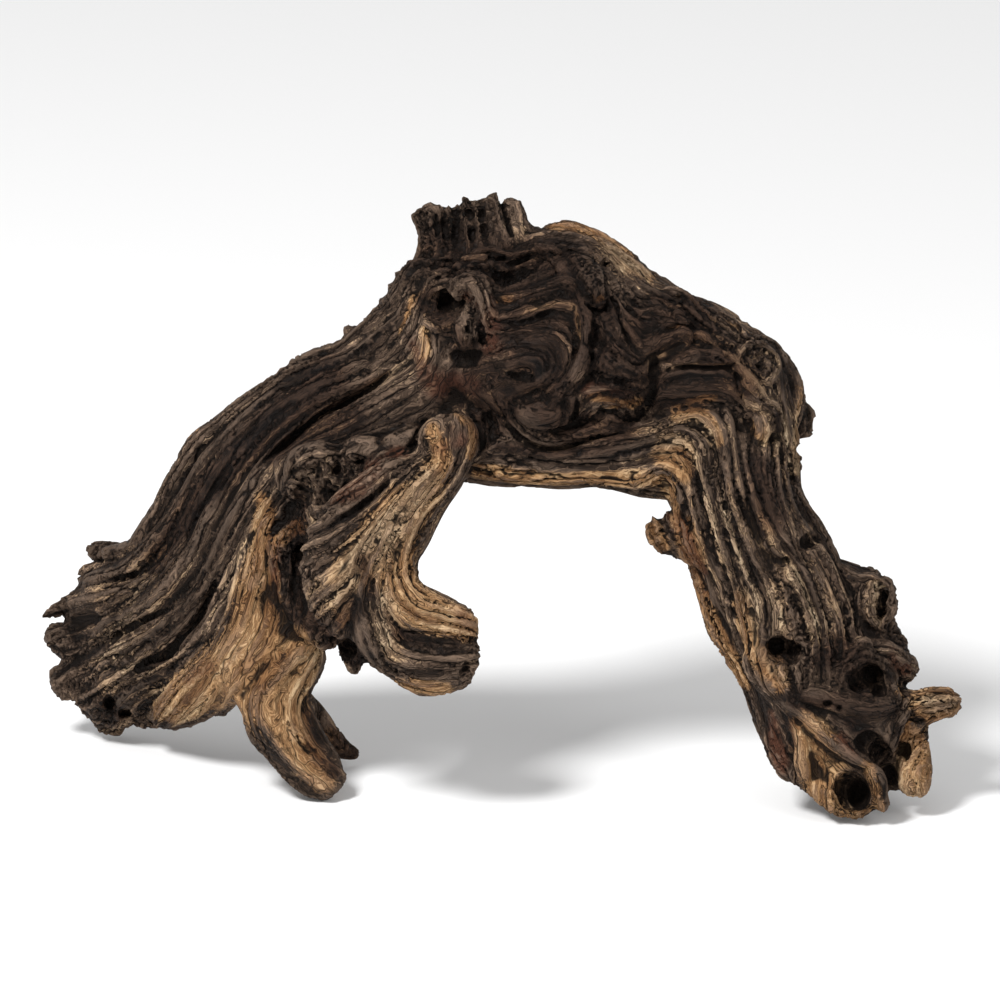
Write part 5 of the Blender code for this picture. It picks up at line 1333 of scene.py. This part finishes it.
def streaks(mesh, table, tree):
    """How far each point is outside its strand, and its chips, ridges and furrows along the grain."""
    points = mesh_points(mesh)
    normals = mesh_normals(mesh)
    edges = mesh_edges(mesh)
    outside, ways = nearest_strand(points, table, tree)
    ways = surface_ways(ways, normals, edges)
    ridges = noise_at(points, RIDGE_SPACING)
    values = np.stack([ridges, noise_at(points, FURROW_SPACING, FURROW_SHIFT)], axis=1)
    points, normals, ways = (array.astype(np.float32) for array in (points, normals, ways))
    neighbours = neighbour_table(edges, len(points))
    short, long = traced(values, points, normals, ways, neighbours)
    return outside, short[:, 1], long[:, 0], long[:, 1]


def displace(item, samples, outside, chips, ridges, furrows):
    """Lumps, creases between strands, and ridges along them, lower where the wood is worn smooth."""
    mesh = item.data
    points = mesh_points(mesh)
    height = LUMP_DEPTH * noise_at(points, LUMP_SIZE) - CREASE_DEPTH * np.clip(outside, 0.0, CREASE_LIMIT)
    relief = RIDGE_DEPTH * groove(ridges) + FURROW_DEPTH * groove(furrows)
    relief *= CALM_MEAN + CALM_SWING * noise_at(points, CALM_SIZE, CALM_SHIFT)
    smooth = np.minimum(STROKE_GAIN * stroke_weight(points, samples, SMOOTH, FRONT), 1.0)
    height += relief * (1.0 - SMOOTHED_PART * smooth)
    rough = np.minimum(STROKE_GAIN * stroke_weight(points, samples, ROUGH, FRONT), 1.0)
    height += CHIP_DEPTH * rough * (CHIP_LEVEL + CHIP_GROOVE * groove(chips) + CHIP_PLAIN * chips)
    move_points(mesh, points + mesh_normals(mesh) * height[:, None])


def place_in_box(item):
    """Cut the feet flat on the floor and centre the box where the solid's box is."""
    points = mesh_points(item.data)
    points[:, 2] = np.maximum(points[:, 2], 0.0)
    middle = (points.min(axis=0) + points.max(axis=0)) / 2.0
    shift = np.array([BOX_MIDDLE[0] - middle[0], BOX_MIDDLE[1] - middle[1], 0.0])
    move_points(item.data, points + shift)
    return shift


def smoothed(values, edges, count, rounds):
    """Values averaged over each point's neighbours, some rounds."""
    first, second = both_ways(edges)
    number = np.bincount(first, minlength=count)[:, None]
    for _ in range(rounds):
        total = np.stack([np.bincount(first, weights=values[second, axis], minlength=count)
                          for axis in range(values.shape[1])], axis=1)
        values = total / number
    return values


def stroke_weight(points, samples, strokes, side):
    """How strongly soft strokes on a side cover each point: 1 in the middle, 0 beyond their reach."""
    rows = []
    for stroke in strokes:
        stroke = list(stroke) if len(stroke) > 1 else [stroke[0], stroke[0]]
        line = stretched(np.array(stroke, float), 2 + 8 * (len(stroke) - 1))
        depth = surface_depth(samples, line[:, 0], line[:, 1], side)
        place = in_metres(np.column_stack([line[:, :2], depth]))
        rows.append(np.column_stack([place, line[:, 2] * UNIT]))
    rows = np.vstack(rows)
    weight = np.zeros(len(points))
    for *middle, radius in rows:
        away = np.sqrt(np.sum((points - middle) ** 2, axis=1)) / (radius * STROKE_REACH)
        weight = np.maximum(weight, 1.0 - away)
    return weight


def keep_values(mesh, name, values):
    """Store one value for each point of the mesh, for the material."""
    layer = mesh.attributes.new(name, "FLOAT", "POINT")
    layer.data.foreach_set("value", np.asarray(values, float))


def nearest_of(points, others):
    """The number of the nearest of the other points, for each point."""
    tree = point_tree(others)
    return np.array([tree.find(point)[1] for point in points.tolist()])


def paint(item, shift, samples, fine):
    """Point values that the material reads: streaks, the cavity that places painted shade and a painted
    highlight, and the colour patches.
    """
    mesh = item.data
    points = mesh_points(mesh)
    normals = mesh_normals(mesh)
    drawn = points - shift
    places, values = fine
    found = nearest_of(drawn, places)
    for name, column in zip(("ridge", "furrow"), values[1:]):
        keep_values(mesh, name, column[found])
    edges = mesh_edges(mesh)
    for name, (rounds, reach) in CAVITIES.items():
        level = smoothed(points, edges, len(points), rounds)
        keep_values(mesh, name, np.sum((level - points) * normals, axis=1) / reach)
    for name, strokes in (("tan", TAN), ("pale", PALE), ("red", RED), ("dark", DARK), ("rough", ROUGH)):
        front = stroke_weight(drawn, samples, strokes, FRONT)
        keep_values(mesh, name, np.maximum(front, stroke_weight(drawn, samples, BACK_PATCHES[name], BACK)))


def carve(item, cutter):
    """Take the cutter's shape out of the object, and drop the cutter."""
    taken = item.modifiers.new("Carve", "BOOLEAN")
    taken.operation = "DIFFERENCE"
    taken.solver = "MANIFOLD"
    taken.object = cutter
    applied(item)
    bpy.data.objects.remove(cutter, do_unlink=True)


def thin_out(item):
    """Merge the flattest faces until TRIANGLES are left."""
    fewer = item.modifiers.new("Fewer", "DECIMATE")
    fewer.ratio = min(1.0, TRIANGLES / sum(len(face.vertices) - 2 for face in item.data.polygons))
    applied(item)


def raw_wood(samples):
    """The wood with its strands, cracks and holes but no relief, and the table of its strands."""
    rng = np.random.default_rng(SEED)
    strands = flow_strands(rng) + wrap_strands(rng)
    strands += fold_strands(samples, FOLDS, FRONT) + fold_strands(samples, BACK_FOLDS, BACK)
    thin = comb_strands()
    body = joined_object("Body", limb_meshes() + [tube_mesh("Strands", strands, picture_matrix())])
    remesh(body, BODY_VOXEL, BODY_SMOOTHING)
    wood = joined_object("wood", [body.data, tube_mesh("Thin", thin, picture_matrix())])
    remesh(wood, VOXEL, 0)
    grow(wood, GROWTH)
    hollows = joined_object("Hollows", cut_meshes(wood, samples))
    remesh(hollows, VOXEL, 0)
    carve(wood, hollows)
    remesh(wood, VOXEL, 1)
    keep_largest(wood)
    return wood, strand_table(strands + thin)


def build_wood():
    """The wood's body, in the same frame as the solid, and how far it was moved to get there."""
    samples = limb_samples()
    wood, table = raw_wood(samples)
    outside, *values = streaks(wood.data, table, point_tree(table[0]))
    displace(wood, samples, outside, *values)
    fine = mesh_points(wood.data), values
    shift = place_in_box(wood)
    thin_out(wood)
    paint(wood, shift, samples, fine)
    wood.data.materials.clear()
    wood.data.materials.append(wood_material())
    wood.data.shade_smooth()
    return wood, shift


class Nodes:
    """Short ways to add and join a material's nodes."""

    def __init__(self, material):
        material.use_nodes = True
        self.tree = material.node_tree
        self.shader = self.tree.nodes["Principled BSDF"]

    def link(self, value, socket):
        if isinstance(value, bpy.types.NodeSocket):
            self.tree.links.new(value, socket)
        else:
            socket.default_value = value

    def add(self, kind, *values, **settings):
        """A new node with the settings, and the values linked to its first inputs."""
        node = self.tree.nodes.new(kind)
        for name, setting in settings.items():
            setattr(node, name, setting)
        for value, socket in zip(values, node.inputs):
            self.link(value, socket)
        return node

    def attribute(self, name):
        return self.add("ShaderNodeAttribute", attribute_name=name).outputs["Fac"]

    def math(self, operation, first, second=0.0):
        return self.add("ShaderNodeMath", first, second, operation=operation).outputs[0]

    def weighted(self, *terms):
        """The sum of some (value, weight) terms."""
        total = 0.0
        for value, weight in terms:
            total = self.math("ADD", total, self.math("MULTIPLY", value, weight))
        return total

    def combined(self, x, y):
        return self.add("ShaderNodeCombineXYZ", x, y).outputs[0]

    def added(self, first, second):
        return self.add("ShaderNodeVectorMath", first, second, operation="ADD").outputs[0]

    def scaled(self, vector, scale):
        return self.add("ShaderNodeVectorMath", vector, (scale,) * 3, operation="MULTIPLY").outputs[0]

    def noise(self, vector, detail, roughness):
        node = self.tree.nodes.new("ShaderNodeTexNoise")
        self.link(vector, node.inputs["Vector"])
        node.inputs["Scale"].default_value = 1.0
        node.inputs["Detail"].default_value = detail
        node.inputs["Roughness"].default_value = roughness
        return node.outputs["Fac"]

    def line(self, value, middle, width):
        """1 on the thin lines where a value passes its middle, 0 away from them."""
        away = self.math("ABSOLUTE", self.math("SUBTRACT", value, middle))
        return self.spread(away, 0.0, width, 1.0, 0.0)

    def spread(self, value, low, high, to_low=0.0, to_high=1.0):
        """The value taken softly from one range to another."""
        node = self.tree.nodes.new("ShaderNodeMapRange")
        node.interpolation_type = "SMOOTHSTEP"
        self.link(value, node.inputs["Value"])
        node.inputs["From Min"].default_value = low
        node.inputs["From Max"].default_value = high
        node.inputs["To Min"].default_value = to_low
        node.inputs["To Max"].default_value = to_high
        return node.outputs["Result"]

    def ramp(self, value, stops):
        node = self.tree.nodes.new("ShaderNodeValToRGB")
        self.link(value, node.inputs["Fac"])
        elements = node.color_ramp.elements
        while len(elements) < len(stops):
            elements.new(0.5)
        for element, (place, colour) in zip(elements, stops):
            element.position = place
            element.color = (*colour, 1.0)
        return node.outputs["Color"]

    def mix(self, amount, first, second, blend="MIX"):
        node = self.tree.nodes.new("ShaderNodeMix")
        node.data_type = "RGBA"
        node.blend_type = blend
        self.link(amount, node.inputs["Factor"])
        self.link(first, node.inputs["A"])
        self.link(second, node.inputs["B"])
        return node.outputs["Result"]


def wood_colour(n, tone, blotches, grooves, hairs, cracks):
    """Bark, heartwood where it is worn, bleached and rusty patches, a painted highlight on crests, dark
    lines, and painted shade in patches, creases and hollows.
    """
    level = n.math("ADD", tone, 0.5)
    pale = n.attribute("pale")
    heart = n.mix(n.spread(pale, 0.3, 0.9, 0.0, 0.6), n.ramp(level, HEART), n.ramp(level, ASH))
    # Worn patches, and the small tan strokes that add a painted highlight on ridge tops
    worn = n.weighted((n.attribute("tan"), 0.80), (tone, 1.5), (pale, 0.20))
    colour = n.mix(n.spread(worn, 0.10, 0.42), n.ramp(level, BARK), heart)
    rusty = n.weighted((n.attribute("red"), 1.0), (n.math("SUBTRACT", blotches, 0.60), 1.3))
    colour = n.mix(n.spread(rusty, 0.05, 0.7, 0.0, 0.6), colour, RUST_COLOUR)
    crease = n.attribute("crease")
    # Painted highlight on convex crests, where the crease value is below 0
    colour = n.mix(n.spread(crease, -0.2, -1.1, 0.0, 0.28), colour, CREST_HIGHLIGHT_COLOUR)
    shade = n.spread(n.attribute("dark"), 0.05, 0.7)
    colour = n.mix(shade, colour, SHADE_COLOUR, "MULTIPLY")
    # Painted shade: near black in creases and hollows, from the cavity values
    deep = n.math("MAXIMUM", n.spread(crease, 0.15, 0.9), n.spread(n.attribute("hollow"), 0.35, 1.7))
    # Dark lines in the grain's grooves, hair lines and cracks, partly painted shade in these fissures, then
    # the painted shade of creases and hollows
    for amount, strength, dark in ((grooves, 0.80, GROOVE_COLOUR), (hairs, 0.65, HAIR_COLOUR),
                                   (cracks, 0.45, CRACK_COLOUR), (deep, 0.92, CAVITY_SHADE_COLOUR)):
        colour = n.mix(n.math("MULTIPLY", amount, strength), colour, dark)
    return colour


def wood_normal(n, place, fibres, grooves, hairs, cracks):
    """Fine relief of the fibres and dark lines, with specks where the wood is rough."""
    specks = n.noise(n.scaled(place, SPECK_SCALE), 2.0, 0.6)
    coarse = n.spread(n.attribute("rough"), 0.0, 0.6, 0.2, 1.0)
    height = n.weighted((fibres, 1.0), (grooves, -0.8), (hairs, -0.6), (cracks, -0.35), (specks, coarse))
    bump = n.tree.nodes.new("ShaderNodeBump")
    bump.inputs["Strength"].default_value = 1.0
    bump.inputs["Distance"].default_value = BUMP_DEPTH
    n.link(height, bump.inputs["Height"])
    return bump.outputs["Normal"]


def wood_material():
    """Dark weathered bark with golden heartwood showing through, both streaked along the grain."""
    material = bpy.data.materials.new("Weathered mopani wood")
    n = Nodes(material)
    place = n.tree.nodes.new("ShaderNodeTexCoord").outputs["Object"]
    blotches = n.noise(n.scaled(place, BLOTCH_SCALE), 3.0, 0.55)
    ridge = n.attribute("ridge")
    furrow = n.attribute("furrow")
    across = n.combined(n.math("MULTIPLY", ridge, FIBRE_PACE), n.math("MULTIPLY", furrow, FIBRE_PACE))
    fibres = n.noise(n.added(across, n.scaled(place, FIBRE_SCALE)), 4.0, 0.65)
    lines = n.line(ridge, 0.0, 0.20), n.line(furrow, 0.0, 0.18), n.line(fibres, 0.47, 0.022)
    tone = n.weighted((ridge, 0.022), (furrow, 0.050), (n.math("SUBTRACT", fibres, 0.5), 0.55),
                      (n.math("SUBTRACT", blotches, 0.5), 0.35))
    n.link(wood_colour(n, tone, blotches, *lines), n.shader.inputs["Base Color"])
    n.link(wood_normal(n, place, fibres, *lines), n.shader.inputs["Normal"])
    n.link(n.spread(tone, -0.1, 0.12, 0.55, 0.78), n.shader.inputs["Roughness"])
    n.shader.inputs["Specular IOR Level"].default_value = 0.12
    return material


def picture_point(shift, x, y):
    """The point of the picture plane through the wood that the pixel (x, y) of the photo shows."""
    local = Vector((x - PICTURE_MIDDLE, 0.0, PICTURE_FLOOR - y))
    return picture_matrix() @ local + Vector(shift)


def set_camera(shift):
    """A long lens at the photo's angle, framed so that one picture unit is one pixel."""
    target = picture_point(shift, PICTURE_SIZE / 2.0, PICTURE_SIZE / 2.0)
    toward = Vector((0.0, math.cos(VIEW_HEIGHT_ANGLE), -math.sin(VIEW_HEIGHT_ANGLE)))
    lens = bpy.data.cameras.new("Camera")
    lens.sensor_width = SENSOR_WIDTH
    lens.lens = SENSOR_WIDTH * CAMERA_DISTANCE / (PICTURE_SIZE * UNIT)
    camera = added_object("Camera", lens)
    camera.location = target - toward * CAMERA_DISTANCE
    camera.rotation_euler = toward.to_track_quat("-Z", "Y").to_euler()
    bpy.context.scene.camera = camera


def add_light(name, place, size, power):
    """A round soft light, aimed at the wood."""
    light = bpy.data.lights.new(name, "AREA")
    light.shape = "DISK"
    light.size = size
    light.energy = power
    lamp = added_object(name, light)
    lamp.location = place
    lamp.rotation_euler = (Vector(LIGHT_AIM) - Vector(place)).to_track_quat("-Z", "Y").to_euler()


def paper_material():
    paper = bpy.data.materials.new("Studio paper")
    paper.use_nodes = True
    shader = paper.node_tree.nodes["Principled BSDF"]
    shader.inputs["Base Color"].default_value = PAPER_COLOUR
    shader.inputs["Roughness"].default_value = PAPER_ROUGHNESS
    return paper


def set_floor():
    """A pale floor, so wide that its edges are out of view."""
    mesh = bpy.data.meshes.new("Floor")
    corners = [(-1, -1), (1, -1), (1, 1), (-1, 1)]
    mesh.from_pydata([(x * FLOOR_HALF, y * FLOOR_HALF, 0.0) for x, y in corners], [], [(0, 1, 2, 3)])
    mesh.materials.append(paper_material())
    added_object("Floor", mesh)


def set_studio():
    """The floor, a pale sky, and soft light from above left, with a weaker one from the right."""
    set_floor()
    world = bpy.data.worlds.new("Studio")
    world.use_nodes = True
    background = world.node_tree.nodes["Background"]
    background.inputs["Color"].default_value = SKY_COLOUR
    background.inputs["Strength"].default_value = SKY_STRENGTH
    bpy.context.scene.world = world
    for name, (place, size, power) in LIGHTS.items():
        add_light(name, place, size, power)
    bpy.context.scene.view_settings.view_transform = "Standard"


wood, wood_shift = build_wood()
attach(wood, "root")
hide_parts("driftwood")
set_studio()
set_camera(wood_shift)
